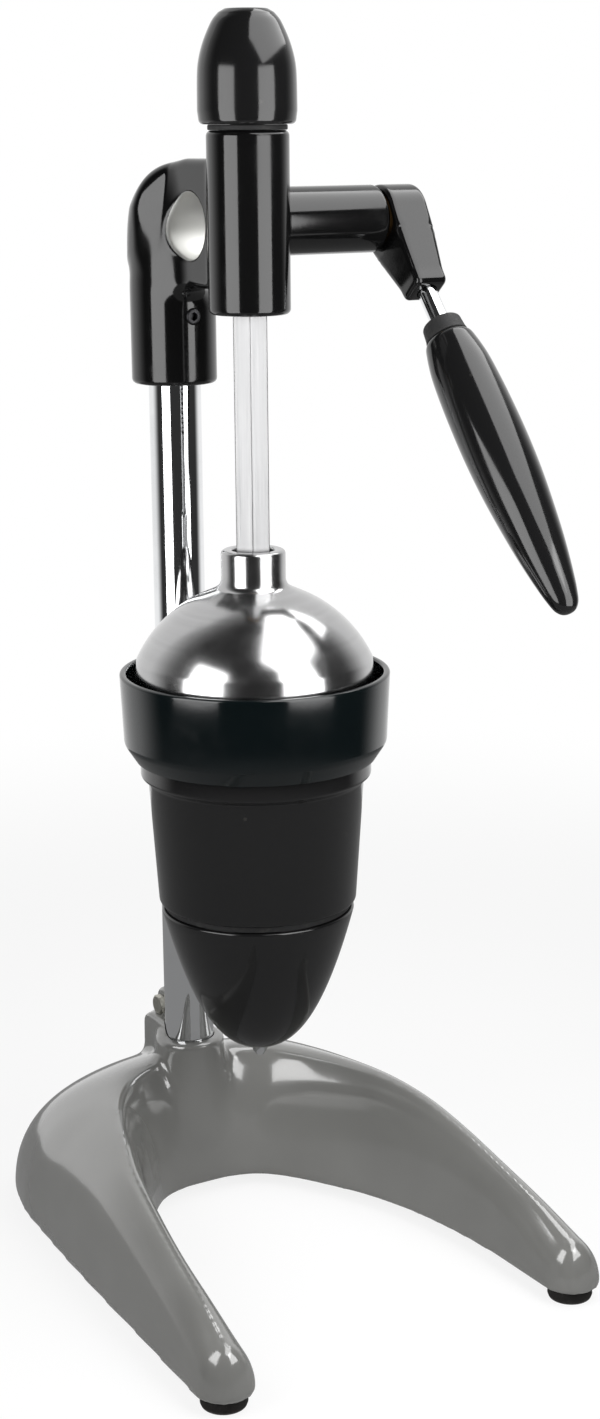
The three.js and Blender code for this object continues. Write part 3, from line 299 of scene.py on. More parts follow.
class PressColours(bpy.types.PropertyGroup):
    """Colours of the finishes."""

    grey: colour("Grey enamel", (0.18, 0.18, 0.172), "Enamel of the base")
    black: colour("Black enamel", (0.003, 0.003, 0.0031), "Enamel of the head and the hub")
    # The wall of the round hole in the head is coloured light grey metal
    hole_wall: colour("Hole wall", (0.62, 0.62, 0.6), "Light grey metal wall of the hole in the head")
    ring: colour("Ring enamel", (0.0016, 0.0034, 0.0039), "Blue-black enamel of the ring")
    plastic: colour("Black plastic", (0.0062, 0.0062, 0.0064), "Cup, funnel, knob and grip")
    chrome: colour("Chrome", (0.80, 0.81, 0.82), "Column, rod and spout")
    dome: colour("Polished steel", (0.45, 0.45, 0.452), "Dome and strainer")
    bar: colour("Drawn steel", (0.31, 0.31, 0.313), "Hexagonal bar")
    zinc: colour("Zinc plate", (0.42, 0.41, 0.365), "Bolts, nuts and washers")
    oxide: colour("Black oxide", (0.03, 0.03, 0.032), "Set screws and pinion shaft")
    bronze: colour("Bronze", (0.45, 0.25, 0.09), "Bushes")
    rubber: colour("Foot rubber", (0.012, 0.0105, 0.009), "Feet")
    collar: colour("Collar rubber", (0.010, 0.010, 0.0104), "Collar, bumper and seal")
    dust: colour("Dust", (0.16, 0.155, 0.145), "Dust that settles on rubber and in hollows")


class PressStudio(bpy.types.PropertyGroup):
    """Camera, lamps, floor, and the cloth and mat whose glow paints reflections."""

    camera_at: FloatVectorProperty(
        name="Camera place", description="Where the photograph was taken from",
        default=(-438.712 * MM, -775.458 * MM, 446.061 * MM), subtype="TRANSLATION",
    )
    camera_turn: angle("Camera turn", -31.06, "Turn of the camera about the upright axis")
    camera_dip: angle("Camera dip", 16.37, "Angle of the view below the horizon")
    camera_roll: angle("Camera roll", -0.34, "Roll of the camera about its view")
    camera_lens: FloatProperty(name="Lens", description="Focal length in mm", default=59.52)
    camera_shift: FloatVectorProperty(
        name="Shift", description="Shift of the frame, as shares of its long side",
        size=2, default=(-0.0128, 0.0729),
    )
    lamp_glow: FloatProperty(name="Lamp glow", description="Radiance of a soft box", default=4.8)
    lamp_width: length("Lamp width", 230, "Width of a soft box")
    lamp_height: length("Lamp height", 365, "Height of a soft box")
    lamp_reach: length("Lamp distance", 330, "Distance of a soft box from the ram axis")
    lamp_rise: length("Lamp rise", 354, "Height of the middle of a soft box")
    lamp_left: angle("Left lamp", -77.5, "Direction of the left soft box")
    lamp_right: angle("Right lamp", 15.5, "Direction of the right soft box")
    top_glow: FloatProperty(name="Top glow", description="Radiance of the top panel", default=4.0)
    top_width: length("Top panel width", 800, "Side of the top panel along the view")
    top_depth: length("Top panel depth", 430, "Side of the top panel across the view")
    top_at: FloatVectorProperty(
        name="Top panel place", description="Middle of the top panel",
        default=(0.1645, -0.192, 0.783), subtype="TRANSLATION",
    )
    top_tilt: angle("Top panel tilt", 43, "How far the top panel leans toward the press")
    # The cloth and the mat glow and only gloss sees them: they are painted dark and grey reflections, and the
    # cloth paints a soft highlight toward its opening
    flag_radius: length("Flag radius", 620, "Radius of the black cloth round the stage")
    flag_height: length("Flag height", 1200, "Height of that cloth")
    flag_gap: angle("Flag gap", 110, "Angle that stays open behind the press")
    flag_behind: angle("Flag gap direction", 68, "Direction of the middle of that gap")
    flag_shade: FloatProperty(name="Flag shade", description="Radiance of the cloth", default=0.035)
    mat_shade: FloatProperty(name="Mat shade", description="Radiance of the grey mat", default=0.26)
    ambient: FloatProperty(name="Ambient", description="Plain light from all round", default=0.15)
    floor_size: length("Floor size", 30000, "Side of the floor")
    floor_near: length("Floor near", 380, "Up to here the floor takes light and shadow")
    floor_far: length("Floor far", 900, "From here on it is plain white")
    floor_shade: share("Floor shade", 0.15, "How much of the floor's colour is lit by the lamps")


# Modelling

EASE_LEVELS = 10
EAR_STEPS = 24
CAST_STEP = 0.02 * MM
FLATTEST_SLOPE = 0.3
HOLE_SIDES = 10


def begin():
    """Leaves edit mode and deselects everything, so that an operator acts on the new piece."""
    if bpy.context.object and bpy.context.object.mode == "EDIT":
        bpy.ops.object.mode_set(mode="OBJECT")
    bpy.ops.object.select_all(action="DESELECT")


def pick(pieces):
    """Selects pieces and makes the first one active."""
    begin()
    for piece in pieces:
        piece.select_set(True)
    bpy.context.view_layer.objects.active = pieces[0]


def named(piece, name):
    piece.name = name
    piece.data.name = name
    return piece


def closed(piece, name, corner=TURNED_CORNER):
    """Merges doubles, turns the faces outwards, applies the place and shades the piece."""
    pick([piece])
    bpy.ops.object.transform_apply(location=True, rotation=True, scale=True)
    bpy.ops.object.mode_set(mode="EDIT")
    bpy.ops.mesh.select_all(action="SELECT")
    bpy.ops.mesh.remove_doubles(threshold=TINY)
    bpy.ops.mesh.normals_make_consistent(inside=False)
    bpy.ops.object.mode_set(mode="OBJECT")
    bpy.ops.object.shade_smooth_by_angle(angle=math.radians(corner))
    return named(piece, name)


def drawn(places):
    """A wire through places, made by pulling one vertex along; it is left in edit mode."""
    begin()
    bpy.ops.mesh.primitive_plane_add(size=1)
    piece = bpy.context.object
    bpy.ops.object.mode_set(mode="EDIT")
    bpy.ops.mesh.select_all(action="SELECT")
    bpy.ops.mesh.merge(type="CENTER")
    bpy.ops.transform.translate(value=places[0])
    for here, there in zip(places, places[1:]):
        bpy.ops.mesh.extrude_region_move(TRANSFORM_OT_translate={"value": there - here})
    return piece


def turned(name, outline, sides, centre=(0, 0, 0), axis=UP, outward=BACK):
    """Spins an outline of (radius, height) points about an axis through centre."""
    centre = Vector(centre)
    piece = drawn([centre + outward * radius + axis * height for radius, height in outline])
    bpy.ops.mesh.select_all(action="SELECT")
    bpy.ops.mesh.spin(steps=sides, angle=2 * math.pi, center=centre, axis=axis)
    return closed(piece, name)


def ringed(name, corners, sides, centre=(0, 0, 0), axis=UP, steps=6):
    """Spins corners, rounded as softened does, that run back to the first of them."""
    outline = softened(corners, steps)
    return turned(name, [*outline, outline[0]], sides, centre, axis)


def walled(bore, radius, start, end, edge):
    """Corners of a bar or washer, with its two outer ones rounded by edge."""
    rim = (edge,) if edge else ()
    return [(bore, start), (radius, start, *rim), (radius, end, *rim), (bore, end)]


def washer(name, bore, radius, start, end, sides, centre=(0, 0, 0), axis=UP, edge=0.0):
    """Washer or tube from start to end along an axis."""
    return ringed(name, walled(bore, radius, start, end, edge), sides, centre, axis)


def bar(name, radius, start, end, sides, centre=(0, 0, 0), axis=UP, outward=BACK, edge=0.0):
    """Round bar from start to end along an axis."""
    outline = softened(walled(0, radius, start, end, edge))
    return turned(name, outline, sides, centre, axis, outward)


def plate(name, outline, half):
    """Flat outline of (back, up) points, extruded to a plate of that half width."""
    piece = drawn([Vector((-half, y, z)) for y, z in outline])
    bpy.ops.mesh.select_all(action="SELECT")
    bpy.ops.mesh.edge_face_add()
    bpy.ops.mesh.extrude_region_move(TRANSFORM_OT_translate={"value": ACROSS * (2 * half)})
    return closed(piece, name)


def slab(name, front, back, bottom, top, half):
    """Plate with a rectangular outline."""
    return plate(name, [(front, bottom), (back, bottom), (back, top), (front, top)], half)


def stacked(name, rings, sides):
    """A bar through oval rings of (centre, width, depth), each drawn up from the one below."""
    begin()
    centre, wide, deep = rings[0]
    bpy.ops.mesh.primitive_circle_add(
        vertices=sides, radius=wide, fill_type="NGON", location=centre)
    piece = bpy.context.object
    piece.scale = (1, deep / wide, 1)
    bpy.ops.object.transform_apply(location=True, rotation=True, scale=True)
    bpy.ops.object.mode_set(mode="EDIT")
    bpy.ops.mesh.select_all(action="SELECT")
    for (before, old, thick), (after, new, thin) in zip(rings, rings[1:]):
        bpy.ops.mesh.extrude_region_move(TRANSFORM_OT_translate={"value": after - before})
        bpy.ops.transform.resize(value=(new / old, thin / thick, 1), center_override=after)
    return closed(piece, name)


def prism(name, sides, across, start, end, axis=UP, turn=0.0, centre=(0, 0, 0)):
    """Regular bar of that many flats from start to end along an axis."""
    begin()
    corner = across / 2 / math.cos(math.pi / sides)
    way = UP.rotation_difference(axis).to_matrix() @ Matrix.Rotation(turn, 3, "Z")
    bpy.ops.mesh.primitive_cylinder_add(
        vertices=sides, radius=corner, depth=end - start,
        location=Vector(centre) + axis * (start + end) / 2, rotation=way.to_euler(),
    )
    return closed(bpy.context.object, name)


def lofted(name, rings):
    """Skin over closed rings of equally many places, with both ends filled."""
    begin()
    count, size = len(rings), len(rings[0])
    bpy.ops.mesh.primitive_grid_add(x_subdivisions=size, y_subdivisions=count - 1, size=1)
    piece = bpy.context.object
    places = np.array([[*ring, ring[0]] for ring in rings], float)
    piece.data.vertices.foreach_set("co", places.ravel())
    bpy.ops.object.mode_set(mode="EDIT")
    bpy.ops.mesh.select_all(action="SELECT")
    bpy.ops.mesh.remove_doubles(threshold=TINY)
    bpy.ops.mesh.fill_holes(sides=0)
    return closed(piece, name)


def shaped(piece, kind, **settings):
    """Gives a piece one modifier and applies it."""
    pick([piece])
    modifier = piece.modifiers.new("Shape", kind)
    for setting, value in settings.items():
        setattr(modifier, setting, value)
    bpy.ops.object.modifier_apply(modifier=modifier.name)
    return piece


def joined(name, pieces):
    """Makes pieces one, without merging their surfaces."""
    pick(pieces)
    bpy.ops.object.join()
    return named(pieces[0], name)


def flowed(piece, rounds, **settings):
    """Lets each place of a piece flow halfway to its neighbours, that many times."""
    return shaped(piece, "SMOOTH", factor=0.5, iterations=rounds, **settings)


def fused(name, pieces, skin, rounds):
    """Joins pieces under one even skin and lets it flow, as a casting does."""
    piece = joined(name, pieces)
    shaped(piece, "REMESH", mode="VOXEL", voxel_size=skin, adaptivity=0)
    return flowed(piece, rounds)


def spots(piece):
    """Places of the vertices of a piece."""
    places = np.empty(len(piece.data.vertices) * 3)
    piece.data.vertices.foreach_get("co", places)
    return places.reshape(-1, 3)


def eased(piece, near, rounds):
    """Lets a piece flow where near is one for a place, and leaves it where near is zero."""
    levels = np.round(near(spots(piece)) * EASE_LEVELS)
    group = piece.vertex_groups.new(name="Ease")
    for level in range(1, EASE_LEVELS + 1):
        group.add(np.flatnonzero(levels == level).tolist(), level / EASE_LEVELS, "REPLACE")
    flowed(piece, rounds, vertex_group="Ease")
    piece.vertex_groups.clear()
    return piece


def combined(piece, tools, operation="DIFFERENCE"):
    """Cuts, joins or crosses a piece with tools, which are used up."""
    for tool in tools:
        shaped(piece, "BOOLEAN", operation=operation, solver="MANIFOLD", object=tool)
        bpy.data.objects.remove(tool)
    if not piece.data.polygons:
        raise RuntimeError(f"nothing is left of {piece.name}")
    return piece


def copied(piece, name, shift):
    """A copy of a piece, moved by a shift, with its own mesh."""
    pick([piece])
    bpy.ops.object.duplicate(linked=False)
    copy = bpy.context.object
    copy.location = shift
    bpy.ops.object.transform_apply(location=True, rotation=True, scale=True)
    return named(copy, name)


def arc(centre, radius, start, end, steps):
    """Points on an arc of an outline, with its angles in degrees."""
    angles = np.radians(np.linspace(start, end, steps + 1))
    return [(centre[0] + radius * math.cos(a), centre[1] + radius * math.sin(a)) for a in angles]


def softened(corners, steps=6):
    """Outline points, where a corner with a third number is rounded by that radius."""
    points = []
    for i, corner in enumerate(corners):
        here = Vector(corner[:2])
        if len(corner) < 3:
            points.append(tuple(here))
            continue
        before = Vector(corners[i - 1][:2]) - here
        after = Vector(corners[(i + 1) % len(corners)][:2]) - here
        half = before.angle(after) / 2
        reach = min(corner[2] / math.tan(half), before.length / 2, after.length / 2)
        radius = reach * math.tan(half)
        inward = (before.normalized() + after.normalized()).normalized()
        hub = here + inward * radius / math.sin(half)
        start = here + before.normalized() * reach - hub
        end = here + after.normalized() * reach - hub
        sweep = math.pi - 2 * half
        for step in range(steps + 1):
            part = step / steps * sweep
            spoke = (start * math.sin(sweep - part) + end * math.sin(part)) / math.sin(sweep)
            points.append(tuple(hub + spoke))
    return points


def flowing(points, steps):
    """Smooth curve through points, with that many steps from one to the next."""
    known = [Vector(point) for point in points]
    known = [2 * known[0] - known[1], *known, 2 * known[-1] - known[-2]]
    curve = []
    for a, b, c, d in zip(known, known[1:], known[2:], known[3:]):
        first = (b - a).length ** 0.5
        second = first + max((c - b).length, TINY) ** 0.5
        third = second + (d - c).length ** 0.5
        for step in range(steps):
            t = first + (second - first) * step / steps
            ab = a.lerp(b, t / first)
            bc = b.lerp(c, (t - first) / (second - first))
            cd = c.lerp(d, (t - second) / (third - second))
            abc = ab.lerp(bc, t / second)
            bcd = bc.lerp(cd, (t - first) / (third - first))
            curve.append(tuple(abc.lerp(bcd, (t - first) / (second - first))))
    return [*curve, tuple(points[-1])]


# Exact surfaces for the castings: distances of places from simple bodies, less than zero inside

def rounded_cross(sideways, lengthways, edge):
    """Distance from the rounded crossing of two slabs, given the distance from each."""
    a, b = sideways + edge, lengthways + edge
    return np.minimum(np.maximum(a, b), 0) + np.hypot(np.maximum(a, 0), np.maximum(b, 0)) - edge


def melted(a, b, width):
    """Distance from two bodies that run together softly over that width."""
    near = np.maximum(width - np.abs(a - b), 0) / width
    return np.minimum(a, b) - near * near * width / 4


def worn(a, b, width):
    """Distance from what two bodies share, with the edge between them rounded over that width."""
    return -melted(-a, -b, width)


def cast_to(piece, distance, rounds=5):
    """Moves the skin of a piece onto the surface where distance is zero."""
    places = spots(piece)
    for _ in range(rounds):
        slope = np.stack([
            (distance(places + shift) - distance(places - shift)) / (2 * CAST_STEP)
            for shift in np.eye(3) * CAST_STEP
        ], axis=1)
        push = distance(places) / np.maximum((slope ** 2).sum(axis=1), FLATTEST_SLOPE)
        places = places - slope * np.clip(push, -MM, MM)[:, None]
    piece.data.vertices.foreach_set("co", places.ravel())
    piece.data.update()
    return piece


def settled(piece, distance, turns, rounds):
    """Casts a skin to its surface and lets it flow by turns, and leaves it on the surface."""
    for _ in range(turns):
        cast_to(piece, distance)
        flowed(piece, rounds)
    return cast_to(piece, distance)


# Node groups that several finishes share

def wired(tree, kind, inputs=None, **settings):
    """A node with its settings and inputs; an input is a value or the socket that feeds it."""
    made = tree.nodes.new(kind)
    for setting, value in settings.items():
        setattr(made, setting, value)
    for socket, value in (inputs or {}).items():
        if isinstance(value, bpy.types.NodeSocket):
            tree.links.new(value, made.inputs[socket])
        else:
            made.inputs[socket].default_value = value
    return made


def maths(tree, operation, *values):
    made = wired(tree, "ShaderNodeMath", dict(enumerate(values)), operation=operation)
    return made.outputs[0]


def weighed(tree, first, share_of_first, second, share_of_second):
    """Sum of two masks, each times its share."""
    return maths(tree, "ADD", maths(tree, "MULTIPLY", first, share_of_first),
                 maths(tree, "MULTIPLY", second, share_of_second))


def stretched(tree, vector, scale):
    made = wired(tree, "ShaderNodeMapping", {"Vector": vector, "Scale": scale})
    return made.outputs["Vector"]


def noise(tree, vector, scale, detail=3.0, roughness=0.5):
    made = wired(tree, "ShaderNodeTexNoise", {
        "Vector": vector, "Scale": scale, "Detail": detail, "Roughness": roughness,
    })
    return made.outputs["Fac"]


def ranged(tree, value, low_in, high_in, low_out, high_out):
    made = wired(tree, "ShaderNodeMapRange", {
        "Value": value, "From Min": low_in, "From Max": high_in,
        "To Min": low_out, "To Max": high_out,
    }, interpolation_type="SMOOTHSTEP")
    return made.outputs["Result"]


def effect(name, inputs, outputs, fill):
    """A node group with named inputs and outputs, built once; fill makes its inside."""
    if name in bpy.data.node_groups:
        return bpy.data.node_groups[name]
    tree = bpy.data.node_groups.new(name, "ShaderNodeTree")
    tree.interface.new_socket("Vector", in_out="INPUT", socket_type="NodeSocketVector")
    for socket, default in inputs.items():
        made = tree.interface.new_socket(socket, in_out="INPUT", socket_type="NodeSocketFloat")
        made.default_value = default
    for socket in outputs:
        tree.interface.new_socket(socket, in_out="OUTPUT", socket_type="NodeSocketFloat")
    entry = tree.nodes.new("NodeGroupInput")
    leave = tree.nodes.new("NodeGroupOutput")
    for socket, source in fill(tree, entry.outputs).items():
        tree.links.new(source, leave.inputs[socket])
    return tree


def enamel_skin():
    """Orange peel of sprayed enamel with slow waves of the casting below and dust specks."""
    def fill(tree, given):
        peel = noise(tree, given["Vector"], given["Peel Scale"], 2.0)
        waves = noise(tree, given["Vector"], given["Wave Scale"], 1.0)
        specks = wired(tree, "ShaderNodeTexVoronoi", {
            "Vector": given["Vector"], "Scale": given["Speck Scale"],
        })
        speck = ranged(tree, specks.outputs["Distance"], 0.03, 0.09, 1.0, 0.0)
        height = maths(tree, "ADD", maths(tree, "MULTIPLY", peel, given["Peel"]), waves)
        height = maths(tree, "ADD", height, maths(tree, "MULTIPLY", speck, given["Specks"]))
        return {"Height": height, "Cloud": waves, "Speck": speck}
    return effect("enamel_skin", {
        "Peel Scale": 550.0, "Wave Scale": 45.0, "Speck Scale": 90.0, "Peel": 0.3, "Specks": 0.3,
    }, ("Height", "Cloud", "Speck"), fill)


def handled_gloss():
    """Smudges and fine wiping scratches on a glossy surface."""
    def fill(tree, given):
        smudge = noise(tree, given["Vector"], given["Smudge Scale"], 5.0, 0.62)
        wipes = noise(tree, stretched(tree, given["Vector"], (1.0, 1.0, 0.08)),
                      given["Scratch Scale"], 2.0, 0.7)
        scratch = ranged(tree, wipes, 0.62, 0.74, 0.0, 1.0)
        return {"Smudge": ranged(tree, smudge, 0.42, 0.68, 0.0, 1.0), "Scratch": scratch}
    return effect("handled_gloss", {"Smudge Scale": 28.0, "Scratch Scale": 900.0},
                  ("Smudge", "Scratch"), fill)


def turning_marks():
    """Fine rings left by turning and polishing about the upright axis of the coordinates."""
    def fill(tree, given):
        parts = wired(tree, "ShaderNodeSeparateXYZ", {"Vector": given["Vector"]}).outputs
        radius = maths(tree, "SQRT", maths(
            tree, "ADD", maths(tree, "MULTIPLY", parts["X"], parts["X"]),
            maths(tree, "MULTIPLY", parts["Y"], parts["Y"])))
        place = maths(tree, "SUBTRACT", parts["Z"], radius)
        drift = noise(tree, given["Vector"], 30.0, 2.0)
        place = weighed(tree, place, given["Rings"], drift, 1.5)
        fine = wired(tree, "ShaderNodeTexNoise", {"W": place, "Scale": 1.0, "Detail": 4.0,
                                                  "Roughness": 0.7}, noise_dimensions="1D")
        broad = wired(tree, "ShaderNodeTexNoise", {
            "W": maths(tree, "MULTIPLY", place, 0.08), "Scale": 1.0, "Detail": 2.0,
        }, noise_dimensions="1D")
        return {"Height": fine.outputs["Fac"], "Band": broad.outputs["Fac"]}
    return effect("turning_marks", {"Rings": 2600.0}, ("Height", "Band"), fill)


def drawn_grain():
    """Long streaks along the upright axis of the coordinates, as drawing through a die leaves."""
    def fill(tree, given):
        narrow = stretched(tree, given["Vector"], (1.0, 1.0, 0.012))
        streak = noise(tree, narrow, given["Streaks"], 4.0, 0.65)
        broad = noise(tree, stretched(tree, given["Vector"], (1.0, 1.0, 0.15)), 120.0, 3.0)
        return {"Height": streak, "Cloud": broad}
    return effect("drawn_grain", {"Streaks": 3200.0}, ("Height", "Cloud"), fill)


def rubber_grain():
    """Fine moulded grain with settled dust."""
    def fill(tree, given):
        grain = noise(tree, given["Vector"], given["Grain"], 6.0, 0.7)
        dust = noise(tree, given["Vector"], 160.0, 5.0, 0.7)
        return {"Height": grain, "Dust": ranged(tree, dust, 0.5, 0.78, 0.0, 1.0)}
    return effect("rubber_grain", {"Grain": 2200.0}, ("Height", "Dust"), fill)


# Finishes

# The light grey metal wall of the round hole in the head: the margin past the hole's radius over which it fades,
# and its roughness
HOLE_WALL_RIM = 0.35 * MM
HOLE_WALL_ROUGHNESS = 0.55


class Finish:
    """A material with its Principled shader, its coordinates and short ways to add to it."""

    def __init__(self, name, **constants):
        self.material = bpy.data.materials.new(name)
        self.material.use_nodes = True
        self.tree = self.material.node_tree
        self.shader = self.tree.nodes["Principled BSDF"]
        self.vector = self.tree.nodes.new("ShaderNodeTexCoord").outputs["Object"]
        for socket, value in constants.items():
            self.shader.inputs[socket.replace("_", " ")].default_value = value

    def add(self, group, **values):
        made = wired(self.tree, "ShaderNodeGroup", node_tree=group)
        self.tree.links.new(self.vector, made.inputs["Vector"])
        for socket, value in values.items():
            made.inputs[socket.replace("_", " ")].default_value = value
        return made.outputs

    def tint(self, mask, dark, light):
        made = wired(self.tree, "ShaderNodeMix", {0: mask, 6: (*dark, 1), 7: (*light, 1)},
                     data_type="RGBA")
        return made.outputs[2]

    def feed(self, socket, source):
        self.tree.links.new(source, self.shader.inputs[socket])

    def colour(self, mask, dark, light):
        self.feed("Base Color", self.tint(mask, dark, light))

    def rough(self, mask, low_in, high_in, smooth, matt):
        self.feed("Roughness", ranged(self.tree, mask, low_in, high_in, smooth, matt))

    def bump(self, height, strength, distance):
        made = wired(self.tree, "ShaderNodeBump", {
            "Height": height, "Strength": strength, "Distance": distance,
        })
        self.feed("Normal", made.outputs["Normal"])


def times(shade, factor):
    return tuple(min(1.0, part * factor) for part in shade)


def enamel(name, shade, peel=0.3, rough=(0.05, 0.1), depth=0.012 * MM, **constants):
    """Sprayed gloss enamel: orange peel, slow waves, faint smudges and a few specks."""
    made = Finish(name, **constants)
    skin = made.add(enamel_skin(), Peel=peel)
    touch = made.add(handled_gloss())
    made.colour(skin["Cloud"], times(shade, 0.93), times(shade, 1.07))
    marks = weighed(made.tree, touch["Smudge"], 0.7, touch["Scratch"], 0.3)
    made.rough(marks, 0.0, 1.0, *rough)
    made.bump(skin["Height"], 1.0, depth)
    return made.material


def grey_paint(colours):
    return enamel("grey_enamel", colours.grey, 0.25, (0.14, 0.2), 0.02 * MM, IOR=1.7,
                  Coat_Weight=0.8, Coat_Roughness=0.06)


def black_paint(colours):
    """Enamel of the head and the hub; the wall of the round hole in the head is light grey, rough metal."""
    sizes = bpy.context.scene.press_sizes
    head = head_measures(sizes)
    made = Finish("black_enamel", IOR=1.5)
    skin = made.add(enamel_skin(), Peel=0.4)
    touch = made.add(handled_gloss())
    hole = wired(made.tree, "ShaderNodeMapping", {
        "Vector": made.vector, "Scale": (0, 1, 1), "Location": (0, -head.hole_y, -head.hole_z),
    }).outputs["Vector"]
    away = wired(made.tree, "ShaderNodeVectorMath", {0: hole}, operation="LENGTH").outputs["Value"]
    # The wall of the round hole is light grey, rough metal in place of the black enamel
    light_hole_wall = ranged(made.tree, away, sizes.web_hole + HOLE_WALL_RIM, sizes.web_hole + 2 * HOLE_WALL_RIM,
                  1.0, 0.0)
    paint = made.tint(skin["Cloud"], times(colours.black, 0.93), times(colours.black, 1.07))
    coat = wired(made.tree, "ShaderNodeMix", {0: light_hole_wall, 6: paint, 7: (*colours.hole_wall, 1)},
                 data_type="RGBA")
    made.feed("Base Color", coat.outputs[2])
    gloss = ranged(made.tree, touch["Smudge"], 0.0, 1.0, 0.1, 0.17)
    rough = wired(made.tree, "ShaderNodeMix", {0: light_hole_wall, 2: gloss, 3: HOLE_WALL_ROUGHNESS},
                  data_type="FLOAT")
    made.feed("Roughness", rough.outputs[0])
    made.feed("Metallic", light_hole_wall)
    made.bump(skin["Height"], 1.0, 0.012 * MM)
    return made.material


def ring_paint(colours):
    return enamel("ring_enamel", colours.ring, 0.4, (0.11, 0.18), 0.012 * MM, IOR=1.5)


def black_plastic(colours):
    """Moulded gloss plastic: very faint flow, smudges and fine wiping scratches."""
    made = Finish("gloss_plastic", IOR=1.5)
    touch = made.add(handled_gloss(), Smudge_Scale=34.0, Scratch_Scale=1300.0)
    skin = made.add(enamel_skin(), Peel_Scale=1400.0, Wave_Scale=60.0, Peel=0.12, Specks=0.1)
    made.colour(skin["Speck"], colours.plastic, times(colours.dust, 0.12))
    marks = weighed(made.tree, touch["Smudge"], 0.5, touch["Scratch"], 0.5)
    made.rough(marks, 0.0, 1.0, 0.1, 0.18)
    made.bump(skin["Height"], 1.0, 0.006 * MM)
    return made.material


def chromed_steel(colours):
    made = Finish("chrome_plate", Metallic=1.0)
    touch = made.add(handled_gloss(), Smudge_Scale=40.0, Scratch_Scale=1500.0)
    grain = made.add(drawn_grain(), Streaks=2400.0)
    made.colour(touch["Smudge"], colours.chrome, times(colours.chrome, 0.9))
    made.rough(touch["Smudge"], 0.0, 1.0, 0.035, 0.09)
    made.bump(grain["Height"], 0.4, 0.002 * MM)
    return made.material


def polished_steel(colours):
    made = Finish("turned_polished_steel", Metallic=1.0)
    rings = made.add(turning_marks())
    touch = made.add(handled_gloss(), Smudge_Scale=30.0)
    made.colour(rings["Band"], times(colours.dome, 0.92), times(colours.dome, 1.08))
    wear = weighed(made.tree, rings["Height"], 0.6, touch["Smudge"], 0.4)
    made.rough(wear, 0.1, 0.9, 0.13, 0.24)
    made.bump(rings["Height"], 0.6, 0.006 * MM)
    return made.material


def bright_steel(colours):
    made = Finish("drawn_bright_steel", Metallic=1.0)
    grain = made.add(drawn_grain(), Streaks=2600.0)
    made.colour(grain["Cloud"], times(colours.bar, 0.93), times(colours.bar, 1.05))
    made.rough(grain["Height"], 0.25, 0.75, 0.36, 0.5)
    made.bump(grain["Height"], 0.5, 0.006 * MM)
    return made.material


def zinc_plated_steel(colours):
    made = Finish("zinc_plate", Metallic=1.0)
    cells = wired(made.tree, "ShaderNodeTexVoronoi", {"Vector": made.vector, "Scale": 700.0})
    grain = made.add(rubber_grain(), Grain=1800.0)
    made.colour(cells.outputs["Distance"], times(colours.zinc, 1.12), times(colours.zinc, 0.78))
    made.rough(grain["Height"], 0.3, 0.7, 0.26, 0.42)
    made.bump(grain["Height"], 0.5, 0.01 * MM)
    return made.material


def dark_steel(colours):
    made = Finish("oiled_black_oxide", Metallic=0.8)
    grain = made.add(rubber_grain(), Grain=1500.0)
    made.colour(grain["Dust"], colours.oxide, times(colours.oxide, 1.8))
    made.rough(grain["Height"], 0.3, 0.7, 0.28, 0.45)
    made.bump(grain["Height"], 0.5, 0.01 * MM)
    return made.material


def bronze(colours):
    made = Finish("machined_bronze", Metallic=1.0)
    rings = made.add(turning_marks(), Rings=1800.0)
    made.colour(rings["Band"], times(colours.bronze, 0.8), times(colours.bronze, 1.15))
    made.rough(rings["Height"], 0.2, 0.8, 0.25, 0.42)
    made.bump(rings["Height"], 0.6, 0.01 * MM)
    return made.material


def rubber(name, shade, dust):
    made = Finish(name, IOR=1.45)
    grain = made.add(rubber_grain())
    made.colour(grain["Dust"], shade, times(dust, 0.22))
    made.rough(grain["Height"], 0.3, 0.7, 0.55, 0.8)
    made.bump(grain["Height"], 0.7, 0.03 * MM)
    return made.material


def foot_rubber(colours):
    return rubber("foot_rubber", colours.rubber, colours.dust)


def collar_rubber(colours):
    return rubber("collar_rubber", colours.collar, colours.dust)


FINISHES = {make.__name__: make for make in (
    grey_paint, black_paint, ring_paint, black_plastic, chromed_steel, polished_steel,
    bright_steel, zinc_plated_steel, dark_steel, bronze, foot_rubber, collar_rubber,
)}
made_finishes = {}


def finish_of(slot):
    if slot not in made_finishes:
        made_finishes[slot] = FINISHES[slot](bpy.context.scene.press_colours)
    return made_finishes[slot]


def slot_of(node):
    subparts = frame["record"]["subparts"]
    return next(part["material_slot"] for part in subparts if part["node"] == node)


def body_of(node):
    bodies = frame["record"]["behaviour"]["bodies"]
    return next(body for body, nodes in bodies.items() if node in nodes)


def seated(piece, node, corner=None):
    """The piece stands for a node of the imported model, on its body and with its finish.

    A piece that was cut is given a corner, and is closed and shaded again with it.
    """
    if corner:
        closed(piece, piece.name, corner)
    piece.data.materials.clear()
    piece.data.materials.append(finish_of(slot_of(node)))
    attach(piece, body_of(node))
    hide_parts(node)
    return piece


# Base

